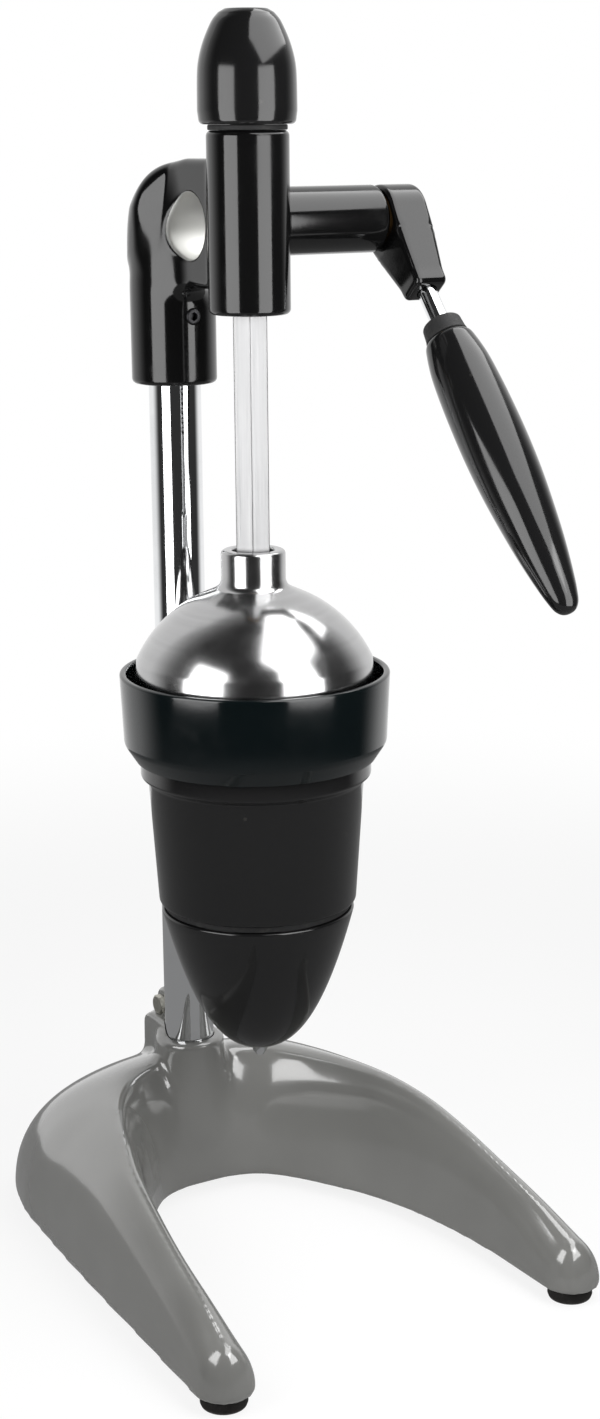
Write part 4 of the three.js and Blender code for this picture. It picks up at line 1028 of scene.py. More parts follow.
# Half of the horseshoe from a leg tip to the middle of the rear. Each row holds the inner rim
# (across, back), the crest (across, back, height) and the outer rim (across, back), as shares of
# the half width, the reach and the top height of the base.
LEG_SHARES = (
    (0.738, -0.902, 0.869, -0.902, 0.411, 1.000, -0.902),
    (0.734, -0.733, 0.850, -0.733, 0.545, 0.988, -0.708),
    (0.724, -0.517, 0.825, -0.525, 0.672, 0.974, -0.500),
    (0.690, -0.317, 0.795, -0.320, 0.795, 0.962, -0.283),
    (0.640, -0.150, 0.755, -0.140, 0.885, 0.950, -0.100),
    (0.562, 0.010, 0.685, 0.030, 0.945, 0.936, 0.083),
    (0.462, 0.150, 0.600, 0.200, 0.965, 0.912, 0.313),
    (0.355, 0.270, 0.503, 0.345, 0.970, 0.876, 0.560),
    (0.255, 0.345, 0.385, 0.450, 0.978, 0.755, 0.800),
    (0.140, 0.380, 0.215, 0.505, 0.990, 0.430, 0.950),
    (0.000, 0.388, 0.000, 0.520, 1.000, 0.000, 1.000),
)
INNER_SPREAD, INNER_RISE = 1.05, 1.0
OUTER_SPREAD, OUTER_RISE = 1.22, 0.92
SIDE_STEPS = 16
TIP_STEPS = 10
SPAN_STEPS = 6
BASE_FLOW_ROUNDS, BASE_EASE_ROUNDS = 22, 20
FLARE_STEPS = 10
FLARE_ROOT = 12 * MM
BOLT_GAP = 0.4 * MM
# The rim of the socket stays as it is down to here, and the easing fades in below
RIM_KEPT, RIM_FADE = 8 * MM, 5 * MM
BASE = "base_casting"
BASE_LOW = low(BASE).z
BASE_HALF_WIDTH = high(BASE).x
BASE_REACH = high(BASE).y
FEET = ("front_left", "front_right", "rear_left", "rear_right")
PAN_CROWN = 1.2 * MM
SLOT_STRETCH = 4.5


def section(inner, crest, outer):
    """Closed ring of places from the inner rim over the crest to the outer rim."""
    turn = np.linspace(0, math.pi / 2, SIDE_STEPS + 1)
    spread, rise = np.maximum(np.cos(turn), 0), np.sin(turn)

    def side(rim, outward, upward):
        places = crest + (rim - crest) * outward[:, None]
        places[:, 2] = rim[2] + (crest[2] - rim[2]) * upward
        return places

    climb = side(inner, spread ** INNER_SPREAD, rise ** INNER_RISE)
    fall = side(outer, spread ** OUTER_SPREAD, rise ** OUTER_RISE)
    return [*climb, *fall[::-1][1:]]


def flipped(station):
    return [place * np.array((-1, 1, 1)) for place in station]


def leg_stations(sizes):
    half = [
        np.array(((a * BASE_HALF_WIDTH, b * BASE_REACH, BASE_LOW),
                  (c * BASE_HALF_WIDTH, d * BASE_REACH, e * sizes.base_top),
                  (f * BASE_HALF_WIDTH, g * BASE_REACH, BASE_LOW)))
        for a, b, c, d, e, f, g in LEG_SHARES
    ]
    both = [*half, *[np.array(flipped(station)) for station in half[-2::-1]]]
    rails = [flowing([station[rail] for station in both], SPAN_STEPS) for rail in range(3)]
    return [[np.array(place) for place in station] for station in zip(*rails)]


def tip_station(sizes, turn):
    radius = sizes.leg_width / 2
    across, front = BASE_HALF_WIDTH - radius, -(BASE_REACH - radius) - radius * math.cos(turn)
    top = BASE_LOW + (sizes.leg_tip - BASE_LOW) * math.sin(turn)
    return [
        np.array((across - radius * math.sin(turn), front, BASE_LOW)),
        np.array((across, front, top)),
        np.array((across + radius * math.sin(turn), front, BASE_LOW)),
    ]


def hollow(station, wall):
    inner, crest, outer = station
    inward = (outer - inner) / np.linalg.norm(outer - inner) * wall
    drop = np.array((0, 0, SPARE))
    return [inner + inward - drop, crest - np.array((0, 0, wall)), outer - inward - drop]


class PRESS_OT_base(bpy.types.Operator):
    """Casts the horseshoe base with its hollow, its column socket and its pinch lug"""

    bl_idname = "press.base"
    bl_label = "Base"

    def execute(self, context):
        sizes = context.scene.press_sizes
        around = sizes.small_sides
        stations = leg_stations(sizes)
        turns = [math.pi / 2 * step / TIP_STEPS for step in range(1, TIP_STEPS)]
        tip = [tip_station(sizes, turn) for turn in turns]
        skin = lofted("skin", [
            section(*station)
            for station in [*tip, *stations, *[flipped(station) for station in tip[::-1]]]
        ])

        rim = COLUMN_RADIUS + sizes.socket_wall
        flare_low = sizes.socket_top - sizes.flare_drop
        flare_root = flare_low - FLARE_ROOT
        rings = [(flare_root, sizes.flare_radius)]
        for turn in np.linspace(0, math.pi / 2, FLARE_STEPS):
            radius = sizes.flare_radius - (sizes.flare_radius - rim) * math.sin(turn)
            rise = (sizes.flare_drop - sizes.socket_edge) * (1 - math.cos(turn))
            rings.append((flare_low + rise, radius))
        rings.append((sizes.socket_top, rim))
        flare = stacked("flare", [
            (Vector((0, COLUMN_Y + (radius - rim) * sizes.flare_depth, height)), radius,
             rim + (radius - rim) * sizes.flare_depth)
            for height, radius in rings
        ], around)

        bolt = side_spot("base_pinch_bolt")
        back_top = bolt.z - sizes.bolt_across / 2 - BOLT_GAP
        back_end = COLUMN_Y + sizes.back_depth
        edge = sizes.back_edge
        block = plate("block", softened([
            (COLUMN_Y, flare_root), (back_end + edge, flare_root),
            (back_end + edge, flare_low), (back_end, back_top, 3 * edge), (COLUMN_Y, back_top),
        ]), sizes.back_half_width)
        lug = plate("lug", [
            (COLUMN_Y, bolt.z - sizes.lug_foot),
            (bolt.y + sizes.lug_radius, bolt.z - sizes.lug_foot),
            *arc((bolt.y, bolt.z), sizes.lug_radius, 0, 180, EAR_STEPS),
            (bolt.y - sizes.lug_radius, sizes.socket_top), (COLUMN_Y, sizes.socket_top),
        ], sizes.lug_half_width)
        base = fused(BASE, [skin, flare, block, lug], sizes.base_skin, BASE_FLOW_ROUNDS)

        def near_hub(places):
            away = np.hypot(places[:, 0], places[:, 1] - COLUMN_Y)
            below = np.clip((sizes.socket_top - RIM_KEPT - places[:, 2]) / RIM_FADE, 0, 1)
            return below * np.clip(2 - 2 * away / sizes.hub_ease, 0, 1)

        eased(base, near_hub, BASE_EASE_ROUNDS)

        cavity = lofted("cavity", [
            section(*hollow(station, sizes.base_wall))
            for station in stations[SPAN_STEPS:-SPAN_STEPS]
        ])
        core = [bar("core", sizes.hub_radius, 0, sizes.socket_top, around, COLUMN_AXIS)]
        for foot in FEET[2:]:
            spot = floor_spot(f"foot_{foot}")
            core.append(bar("boss", sizes.boss_radius, 0, sizes.base_top, around, spot))
        combined(cavity, core)
        combined(base, [cavity])

        top = bolt.z + 2 * sizes.lug_radius
        bore = COLUMN_RADIUS + sizes.clearance
        hole = sizes.bolt_radius + sizes.clearance
        tools = [
            bar("bore", bore, sizes.column_foot, top, sizes.sides, COLUMN_AXIS),
            slab("slit", COLUMN_Y, bolt.y + 2 * sizes.lug_radius, bolt.z - sizes.slit_depth, top,
                 sizes.slit / 2),
            bar("hole", hole, -rim, rim, around, bolt, ACROSS),
        ]
        for name in FEET:
            screw = f"foot_screw_{name}"
            tools.append(bar("hole", sizes.screw_radius + sizes.clearance, 0,
                             high(screw).z + sizes.clearance, around, floor_spot(screw)))
        combined(base, tools)
        seated(base, BASE, CAST_CORNER)
        return {"FINISHED"}


class PRESS_OT_feet(bpy.types.Operator):
    """Moulds the rubber feet and turns the screws that hold them"""

    bl_idname = "press.feet"
    bl_label = "Feet"

    def execute(self, context):
        sizes = context.scene.press_sizes
        first, screw = f"foot_{FEET[0]}", f"foot_screw_{FEET[0]}"
        spot, radius, head = floor_spot(first), half_depth(first), half_depth(screw)
        head_top = low(screw).z + sizes.screw_head
        seat, crown = head_top + sizes.clearance, low(screw).z + PAN_CROWN
        room, shank = head + sizes.clearance, sizes.screw_radius + sizes.clearance
        foot = turned("pad", softened([
            (room, 0, 0.3 * MM), (radius - 0.6 * MM, 0, 0.7 * MM), (radius, 1.6 * MM, 0.8 * MM),
            (radius - 0.25 * MM, high(first).z, FINE_EDGE), (shank, high(first).z), (shank, seat),
            (room, seat), (room, 0.6 * MM),
        ]) + [(room, 0.3 * MM)], sizes.small_sides, spot)
        pin = turned("pin", softened([
            (0, low(screw).z), (head * 0.6, low(screw).z, PAN_CROWN), (head, crown, FINE_EDGE),
            (head, head_top), (sizes.screw_radius, head_top),
            (sizes.screw_radius, high(screw).z, PLAIN_EDGE), (0, high(screw).z),
        ]), sizes.small_sides, spot)
        for stretch in ((SLOT_STRETCH, 1, 1), (1, SLOT_STRETCH, 1)):
            slot = prism("slot", 4, sizes.screw_slot, low(screw).z - 0.1 * MM,
                         low(screw).z + sizes.screw_slot, turn=math.pi / 4, centre=spot)
            spread = Matrix.Diagonal((*stretch, 1))
            slot.data.transform(Matrix.Translation(spot) @ spread @ Matrix.Translation(-spot))
            combined(pin, [slot])
        closed(pin, "pin")
        for name in FEET:
            shift = floor_spot(f"foot_{name}") - spot
            seated(copied(foot, f"rubber_foot_{name}", shift), f"foot_{name}")
            seated(copied(pin, f"pan_screw_{name}", shift), f"foot_screw_{name}")
        bpy.data.objects.remove(foot)
        bpy.data.objects.remove(pin)
        return {"FINISHED"}


# Column and head

ARCH_STEPS, HAUNCH_STEPS, SHOULDER_STEPS = 24, 16, 12
HAUNCH_TUCK_SHARE, HAUNCH_WIDTH_SHARE, HAUNCH_TOP_SHARE = 0.7, 0.75, 0.86
HAUNCH_FRONT = 8 * MM


class PRESS_OT_column(bpy.types.Operator):
    """Draws the chromed column"""

    bl_idname = "press.column"
    bl_label = "Column"

    def execute(self, context):
        sizes = context.scene.press_sizes
        bore = COLUMN_RADIUS - sizes.column_wall
        tube = washer("column", bore, COLUMN_RADIUS, *heights("column_tube"), sizes.sides,
                      COLUMN_AXIS)
        seated(tube, "column_tube")
        return {"FINISHED"}


def head_measures(sizes):
    """Places and radii of the head that its box and the bush at its foot give."""
    node, foot = "head_casting", low("lower_guide_bush").z
    return SimpleNamespace(
        foot=foot, top=high(node).z, housing=-low(node).y, socket=-low(node).x,
        socket_foot=low(node).z, straight=low(node).z + sizes.socket_straight,
        back=high(node).y, boss_end=high(node).x, web_foot=foot + sizes.web_rise,
        arch_y=high(node).y - sizes.arch_radius, arch_z=foot + sizes.arch_rise - sizes.arch_radius,
        hole_y=COLUMN_Y - sizes.web_hole_front, hole_z=foot + sizes.web_hole_rise,
    )


def head_distance(sizes):
    """Distance of places from the head casting without its bores."""
    head = head_measures(sizes)

    def barrel(x, y, z):
        rise = np.abs(z - (head.foot + head.top) / 2) - (head.top - head.foot) / 2
        return rounded_cross(np.hypot(x, y) - head.housing, rise, sizes.head_edge)

    def sleeve(x, y, z):
        up = np.maximum(z - head.straight, 0) / sizes.socket_shoulder
        away = (np.hypot(np.hypot(x, y - COLUMN_Y) / head.socket, up) - 1) * head.socket
        return rounded_cross(away, head.socket_foot - z, sizes.head_edge)

    def web(x, y, z):
        bend = (y > head.arch_y) & (z > head.arch_z)
        corner = np.hypot(y - head.arch_y, z - head.arch_z) - sizes.arch_radius
        square = np.maximum(y - head.arch_y - sizes.arch_radius,
                            z - head.arch_z - sizes.arch_radius)
        outline = np.maximum(np.where(bend, corner, square), np.maximum(head.web_foot - z, -y))
        behind = head.hole_y + sizes.web_hole + sizes.haunch_gap
        haunch = np.clip((y - behind) / (COLUMN_Y - behind), 0, 1)
        haunch = haunch * haunch * (3 - 2 * haunch)
        lowest = np.clip(1 - (z - head.web_foot) / (HAUNCH_TUCK_SHARE * sizes.arch_radius), 0, 1)
        tuck = sizes.haunch_tuck * lowest * haunch
        half = sizes.web_half_width + (head.socket - MM - sizes.web_half_width) * haunch - tuck
        edge = sizes.web_edge + (sizes.haunch_edge - sizes.web_edge) * haunch
        return rounded_cross(np.abs(x) - half, outline + tuck, edge)

    def boss(x, y, z):
        around = np.hypot(y - PIVOT.y, z - PIVOT.z) - sizes.boss_barrel
        return rounded_cross(around, np.maximum(x - head.boss_end, -x), sizes.boss_end_edge)

    def distance(places):
        x, y, z = places.T
        cast = melted(barrel(x, y, z), web(x, y, z), sizes.cast_fillet)
        cast = melted(cast, sleeve(x, y, z), sizes.cast_fillet)
        hole = sizes.web_hole - np.hypot(y - head.hole_y, z - head.hole_z)
        return melted(worn(cast, hole, sizes.web_hole_edge), boss(x, y, z), sizes.cast_fillet / 3)

    return distance


class PRESS_OT_head(bpy.types.Operator):
    """Casts the head: housing, web with its round hole, column socket and boss"""

    bl_idname = "press.head"
    bl_label = "Head"

    def execute(self, context):
        sizes = context.scene.press_sizes
        cast = head_measures(sizes)
        reach = cast.housing + cast.socket
        around = sizes.small_sides
        arch = (cast.arch_y, cast.arch_z)
        barrel = bar("barrel", cast.housing, cast.foot, cast.top, around)
        sleeve = turned("sleeve", [(0, cast.socket_foot), (cast.socket, cast.socket_foot), *[
            (cast.socket * math.cos(turn), cast.straight + sizes.socket_shoulder * math.sin(turn))
            for turn in np.linspace(0, math.pi / 2, SHOULDER_STEPS)
        ]], around, COLUMN_AXIS)
        web = plate("web", [
            (0, cast.web_foot), (cast.back, cast.web_foot),
            *arc(arch, sizes.arch_radius, 0, 90, ARCH_STEPS), (0, cast.foot + sizes.arch_rise),
        ], sizes.web_half_width)
        haunch = plate("haunch", [
            (COLUMN_Y - HAUNCH_FRONT, cast.straight), (cast.back - MM, cast.straight),
            *arc(arch, sizes.arch_radius - MM, 0, 60, HAUNCH_STEPS),
            (COLUMN_Y - HAUNCH_FRONT, cast.arch_z + HAUNCH_TOP_SHARE * sizes.arch_radius),
        ], HAUNCH_WIDTH_SHARE * cast.socket)
        hole = (0, cast.hole_y, cast.hole_z)
        combined(web, [bar("hole", sizes.web_hole, -reach, reach, around, hole, ACROSS)])
        boss = bar("boss", sizes.boss_barrel, 0, cast.boss_end, around, PIVOT, ACROSS)
        head = fused("cast_head", [barrel, sleeve, web, haunch, boss], sizes.head_skin, rounds=2)
        settled(head, head_distance(sizes), turns=3, rounds=3)

        pinion = half_depth("pinion_bush_outer") + sizes.clearance
        screw = Vector((0, COLUMN_Y, middle("head_set_screw").z))
        combined(head, [
            bar("bore", sizes.ram_bore, cast.foot - reach, cast.top + reach, sizes.sides),
            bar("bore", COLUMN_RADIUS + sizes.clearance, cast.socket_foot - reach,
                high("column_tube").z + sizes.clearance, sizes.sides, COLUMN_AXIS),
            bar("bore", pinion, -sizes.pinion_room, 2 * reach + cast.boss_end, sizes.sides, PIVOT,
                ACROSS),
            bar("hole", sizes.set_screw + sizes.clearance, -reach, 0, around, screw, BACK, UP),
        ])
        seated(head, "head_casting", CAST_CORNER)
        return {"FINISHED"}


# Lever

ROD_SEAT_SHARE = 0.53


def hub_distance(sizes):
    """Distance of places from the lever hub without its holes."""
    way = np.array(LEVER_WAY)
    side = np.cross(np.array(ACROSS), way)
    half = half_width("lever_hub")
    wide, thin, reach = sizes.hub_barrel, sizes.hub_tip_width, sizes.hub_length
    lean = math.asin((wide - thin) / reach)

    def distance(places):
        offset = places - np.array(LEVER_TOP)
        along, out, depth = offset @ way, np.abs(offset @ side), np.abs(offset[:, 0])
        lip = np.clip((along - (reach - sizes.hub_lip_length)) / sizes.hub_lip_length, 0, 1)
        lip = sizes.hub_lip * lip * lip * (3 - 2 * lip)
        flank = out * math.cos(lean) + along * math.sin(lean) - wide
        drop = np.where(flank_side(along, out, lean), flank, np.hypot(along, out) - wide)
        end = along - reach
        shape = worn(drop - lip, end, sizes.hub_round)
        taper = np.clip((along - sizes.hub_taper) / (reach - sizes.hub_taper), 0, 1)
        thick = depth - (half + (sizes.hub_tip_depth - half) * taper) - lip
        return worn(shape, thick, sizes.hub_round)

    return distance


def flank_side(along, out, lean):
    """Whether a place lies past the tangent point of the hub's round top, beside its flank."""
    return along * math.cos(lean) - out * math.sin(lean) > 0


class PRESS_OT_hub(bpy.types.Operator):
    """Casts the tapered hub of the lever"""

    bl_idname = "press.hub"
    bl_label = "Lever hub"

    def execute(self, context):
        sizes = context.scene.press_sizes
        node = "lever_hub"
        start, end = widths(node)
        body = bar("hub", sizes.hub_barrel, start, end, sizes.small_sides, PIVOT, ACROSS)
        tip = prism("tip", 4, 2 * sizes.hub_tip_depth + 1 * MM, 0, sizes.hub_length, LEVER_WAY,
                    math.pi / 4, LEVER_TOP)
        hub = fused("cast_hub", [body, tip], sizes.hub_skin, rounds=3)
        settled(hub, hub_distance(sizes), turns=4, rounds=4)
        rod = ROD_RADIUS + sizes.clearance
        recess = high("hub_screw").x - PAST
        square = sizes.hub_square + 2 * sizes.clearance
        lean = math.atan2(-LEVER_WAY.y, -LEVER_WAY.z)
        screw = middle("rod_set_screw")
        hole = half_along_lever("rod_set_screw") + sizes.clearance
        around = sizes.small_sides
        combined(hub, [
            bar("bore", rod, sizes.hub_length * ROD_SEAT_SHARE, 2 * sizes.hub_length, around,
                LEVER_TOP, LEVER_WAY, ACROSS),
            prism("square", 4, square, start - PAST, end + PAST, ACROSS, math.pi / 4 + lean, PIVOT),
            bar("recess", sizes.hub_recess, low("hub_washer").x - sizes.clearance, 2 * recess,
                around, PIVOT, ACROSS),
            bar("hole", hole, 0, sizes.hub_length, around, (LEVER_X, screw.y, screw.z), ACROSS),
        ])
        seated(hub, node, CAST_CORNER)
        return {"FINISHED"}


def half_along_lever(node):
    start, end = along_lever(node)
    return (end - start) / 2


# Profile of the grip: (down the grip, out from its axis), as shares of its length and radius
GRIP_SHARES = (
    (0.0, 0.66), (0.01, 0.735), (0.035, 0.80), (0.1, 0.905), (0.19, 0.965), (0.31, 1.0),
    (0.42, 1.0), (0.54, 0.955), (0.66, 0.86), (0.77, 0.745), (0.87, 0.6), (0.94, 0.47),
    (0.977, 0.36), (0.994, 0.22), (1.0, 0.0),
)


class PRESS_OT_grip(bpy.types.Operator):
    """Turns the rod of the lever, its rubber collar and its spindle-shaped grip"""

    bl_idname = "press.grip"
    bl_label = "Rod and grip"

    def execute(self, context):
        sizes = context.scene.press_sizes

        def on_lever(name, outline, node):
            seated(turned(name, outline, sizes.sides, LEVER_TOP, LEVER_WAY, ACROSS), node)

        start, end = along_lever("lever_rod")
        on_lever("rod", softened(walled(0, ROD_RADIUS, start, end, FINE_EDGE)), "lever_rod")
        bore = ROD_RADIUS + sizes.clearance
        start, end = along_lever("grip_collar")
        on_lever("collar", [*softened([
            (bore, start), (sizes.collar_top, start, 1.1 * MM),
            (sizes.collar_foot - 0.5 * MM, start + 0.72 * (end - start), 1.5 * MM),
            (sizes.collar_foot, end, 0.5 * MM), (bore, end),
        ]), (bore, start)], "grip_collar")
        start, end = along_lever("lever_grip")
        socket = along_lever("lever_rod")[1] + sizes.clearance
        reach = end - start
        skin = flowing([(out * sizes.grip_radius, start + along * reach)
                        for along, out in GRIP_SHARES], 8)
        on_lever("grip", [(0, socket), (bore, socket), (bore, start), *skin[:-1], (0, end)],
                 "lever_grip")
        return {"FINISHED"}


# Ram

# Profile of the knob: (out from its axis, up from its foot), as shares of its radius and height
KNOB_SHARES = (
    (1.0, 0.10), (1.0, 0.16), (0.985, 0.47), (0.955, 0.57), (0.885, 0.69), (0.79, 0.8),
    (0.665, 0.91), (0.555, 0.968),
)
BUMPER_LIFT, BUMPER_PLAY = 0.05 * MM, 0.03 * MM
DOME_SCREW_SHANK = 0.58
NECK_SINK = 2.2 * MM
# Point of the dome's profile that the neck's fillet runs into
FILLET_END = 4
RACK_MODULE = 1.25
RACK_TEETH_ABOVE = 3
RACK_SPARE = 28
RACK_THINNING = 0.24
RACK_ROOT_SHARE, RACK_TIP_SHARE = 1.25, 0.8
PRESSURE_ANGLE = math.radians(20)


def dome_screw_bore(sizes):
    """Radius of the hole that the screw of the dome goes through."""
    return half_depth("dome_screw") * DOME_SCREW_SHANK + sizes.clearance


class PRESS_OT_ram(bpy.types.Operator):
    """Draws the hexagonal bar and cuts its rack"""

    bl_idname = "press.ram"
    bl_label = "Ram bar"

    def execute(self, context):
        sizes = context.scene.press_sizes
        bottom = low("ram_rack").z
        top = low("top_knob").z + sizes.knob_seat
        ram = prism("ram_bar", 6, sizes.bar_across, bottom, top, turn=math.pi / 6)
        shaped(ram, "BEVEL", width=sizes.bar_edge, segments=3, limit_method="ANGLE",
               angle_limit=math.radians(30))
        travel = max(abs(end) for joint in frame["joints"] if joint["child"] == "ram"
                     for end in joint["range_m"])
        pitch = math.pi * RACK_MODULE * MM
        face = sizes.bar_across / 2
        line = face - RACK_TIP_SHARE * RACK_MODULE * MM
        root = line - RACK_ROOT_SHARE * RACK_MODULE * MM
        out = face + SPARE

        def half_gap(depth):
            flank = (depth - line) * math.tan(PRESSURE_ANGLE)
            return pitch / 4 + RACK_THINNING * MM / 2 + flank

        gaps = []
        for tooth in range(round((travel + RACK_SPARE * MM) / pitch)):
            centre = PIVOT.z + pitch * (RACK_TEETH_ABOVE - tooth)
            wide, slim = half_gap(face), half_gap(root)
            gaps.append(plate("gap", [
                (root, centre - slim), (face, centre - wide), (out, centre - wide),
                (out, centre + wide), (face, centre + wide), (root, centre + slim),
            ], sizes.bar_across))
        around = sizes.small_sides
        stem = bar("stem", sizes.spigot, top - SPARE, high("ram_rack").z, around)
        combined(ram, [stem], "UNION")
        combined(ram, [
            joined("gaps", gaps),
            bar("tapped", dome_screw_bore(sizes), bottom - SPARE, bottom + sizes.tap_depth, around),
        ])
        seated(ram, "ram_rack", FLAT_CORNER)
        return {"FINISHED"}


class PRESS_OT_knob(bpy.types.Operator):
    """Turns the bullet-shaped knob and the bumper under it"""

    bl_idname = "press.knob"
    bl_label = "Knob"

    def execute(self, context):
        sizes = context.scene.press_sizes
        bottom, top = heights("top_knob")
        radius, tall = half_depth("top_knob"), top - bottom
        skin = flowing([(out * radius, bottom + up * tall) for out, up in KNOB_SHARES], 8)
        foot = softened([(0.78 * radius, bottom), (0.965 * radius, bottom, 2.2 * MM),
                         (radius, bottom + 0.12 * tall, 3 * MM), (radius, bottom + 0.2 * tall)])
        crown = softened([skin[-1], (0.43 * radius, top, sizes.knob_edge), (0, top)])
        room = sizes.bar_across / 2 / math.cos(math.pi / 6) + sizes.clearance
        spigot = sizes.spigot + sizes.clearance
        roof = high("ram_rack").z + sizes.clearance
        step = bottom + sizes.knob_seat + sizes.clearance
        knob = turned("knob", [
            (0, roof), (spigot, roof), (spigot, step), (room, step), (room, bottom),
            *foot[:-2], *skin[4:-1], *crown,
        ], sizes.sides)
        seated(knob, "top_knob")
        node = "knob_bumper"
        radius = half_depth(node) + sizes.bumper_rim
        foot, roof = high("head_casting").z + BUMPER_LIFT, low("top_knob").z - BUMPER_PLAY
        seated(washer("bumper", room, radius, foot, roof, sizes.sides, edge=PLAIN_EDGE), node)
        return {"FINISHED"}


class PRESS_OT_dome(bpy.types.Operator):
    """Spins the press dome with its neck and skirt"""

    bl_idname = "press.dome"
    bl_label = "Press dome"

    def execute(self, context):
        sizes = context.scene.press_sizes
        node = "press_dome"
        centre = high("holder_ring").z - sizes.dome_drop
        foot, neck_top = heights(node)
        skirt = half_depth(node) - sizes.skirt_flare
        radius = math.hypot(skirt, sizes.skirt_rise)
        skirt_top = centre + sizes.skirt_rise

        def cap(ball, start, steps):
            first, last = math.asin(start / ball), math.acos((skirt_top - centre) / ball)
            turns = np.linspace(first, last, steps + 1)
            return [(ball * math.sin(turn), centre + ball * math.cos(turn)) for turn in turns]

        eye = cap(radius, sizes.eye_radius, 40)
        neck = sizes.neck_radius
        waist = eye[0][1] + sizes.eye_radius - neck - NECK_SINK
        fillet = softened([
            (neck, neck_top - 8 * MM), (neck, waist, sizes.neck_fillet), eye[FILLET_END],
        ], 10)
        drill = dome_screw_bore(sizes)
        floor = low("ram_rack").z - sizes.clearance
        roof = floor - sizes.dome_floor
        wall = sizes.dome_wall
        inner = cap(radius - wall, sizes.eye_radius - wall, 24)
        lip = skirt + sizes.skirt_flare
        outline = [
            (drill, floor), (sizes.dome_bore, floor),
            *softened([(sizes.dome_bore, floor + 1 * MM), (sizes.dome_bore, neck_top, 0.8 * MM),
                       (neck, neck_top, sizes.neck_edge), (neck, neck_top - 6 * MM)]),
            *fillet[1:-1], *eye[FILLET_END:-1],
            *softened([eye[-1], (lip, foot, PLAIN_EDGE), (lip - wall, foot, PLAIN_EDGE),
                       (inner[-1][0], skirt_top)]),
            *inner[-2::-1], (sizes.eye_radius - wall, roof), (drill, roof), (drill, floor),
        ]
        seated(turned("dome", outline, sizes.sides + 48), node)
        return {"FINISHED"}


# Ring, cup and what hangs in them

CONE_SLENDERNESS = 1.2
# Radius of the first row of strainer holes and the step to the next, as shares of the cone's foot
CONE_FIRST_ROW, CONE_ROW_STEP = 0.93, 0.135
FUNNEL_SPACING, FUNNEL_FULLNESS = 2.2, 0.4
SEAL_SHARE = 0.4


class PRESS_OT_ring(bpy.types.Operator):
    """Turns the ring that holds the cup and casts its arm and clamp"""

    bl_idname = "press.ring"
    bl_label = "Holder ring"

    def execute(self, context):
        sizes = context.scene.press_sizes
        node = "holder_ring"
        foot, top = heights(node)
        outer = -low(node).y
        inner = outer - sizes.ring_wall
        bore = half_depth("cup_body") - sizes.cup_overhang + 2 * sizes.clearance
        ledge = top - sizes.ring_ledge
        waist = (outer - sizes.ring_taper, foot + sizes.ring_foot)
        lip = sizes.ring_lip
        ring = ringed("ring", [
            (bore, foot), (outer - sizes.ring_foot_taper, foot, 2.2 * MM), (*waist, 5 * MM),
            (outer, top, lip), (inner, top, lip), (inner, ledge, 0.6 * MM), (bore, ledge),
        ], sizes.sides, steps=8)
        arm_low = foot + sizes.arm_rise
        arm_top = arm_low + sizes.arm_height
        bolt = middle("holder_clamp_bolt")
        clamp_radius = COLUMN_RADIUS + sizes.clamp_wall
        clamp = bar("clamp", clamp_radius, arm_low, arm_top, sizes.small_sides, COLUMN_AXIS,
                    edge=1.5 * MM)
        arm = slab("arm", inner - SPARE, COLUMN_Y, arm_low, arm_top, sizes.arm_half_width)
        centre = (arm_low + arm_top) / 2
        ears = plate("ears", [
            (COLUMN_Y, centre - sizes.ear_radius),
            *arc((bolt.y, centre), sizes.ear_radius, -90, 90, EAR_STEPS),
            (COLUMN_Y, centre + sizes.ear_radius),
        ], sizes.ear_half_width)
        arms = fused("arms", [clamp, arm, ears], sizes.clamp_skin, rounds=5)
        reach = 4 * sizes.arm_height
        combined(arms, [
            bar("mouth", outer - sizes.ring_wall / 2, foot - reach, top + reach, sizes.sides),
        ])
        combined(ring, [arms], "UNION")
        hole = sizes.bolt_radius + sizes.clearance
        combined(ring, [
            bar("bore", COLUMN_RADIUS + sizes.clearance, foot - reach, top + reach, sizes.sides,
                COLUMN_AXIS),
            slab("slit", COLUMN_Y, bolt.y + reach, foot - reach, top + reach,
                 sizes.clamp_slit / 2),
            bar("hole", hole, -reach, reach, sizes.small_sides, (0, bolt.y, centre), ACROSS),
        ])
        seated(ring, node, TURNED_CORNER)
        return {"FINISHED"}


class PRESS_OT_cup(bpy.types.Operator):
    """Turns the cup that hangs in the ring"""

    bl_idname = "press.cup"
    bl_label = "Cup"

    def execute(self, context):
        sizes = context.scene.press_sizes
        node = "cup_body"
        foot, top = heights(node)
        flange = half_depth(node)
        under = top - sizes.cup_flange
        collar = flange + sizes.clearance - sizes.cup_overhang
        collar_foot = low("holder_ring").z - sizes.cup_collar_drop
        shoulder = collar - sizes.cup_step
        narrow = cup_bottom_radius(sizes)
        wall = sizes.cup_wall
        cup = ringed("cup", [
            (narrow - wall, foot), (narrow, foot, sizes.cup_edge),
            (shoulder, collar_foot - sizes.cup_step_height, 1.6 * MM),
            (collar, collar_foot - 0.6 * MM, 1.4 * MM), (collar, under),
            (flange, under, PLAIN_EDGE), (flange, top, PLAIN_EDGE),
            (collar - wall, top, PLAIN_EDGE),
            (collar - wall, collar_foot + sizes.cup_step_height, 3 * MM),
            (shoulder - wall, collar_foot - sizes.cup_step_height, 3 * MM),
        ], sizes.sides)
        seated(cup, node)
        return {"FINISHED"}


def cup_bottom_radius(sizes):
    """Radius of the foot of the cup, which the seal below it gives."""
    return half_depth("joint_seal") + sizes.cup_wall / 2


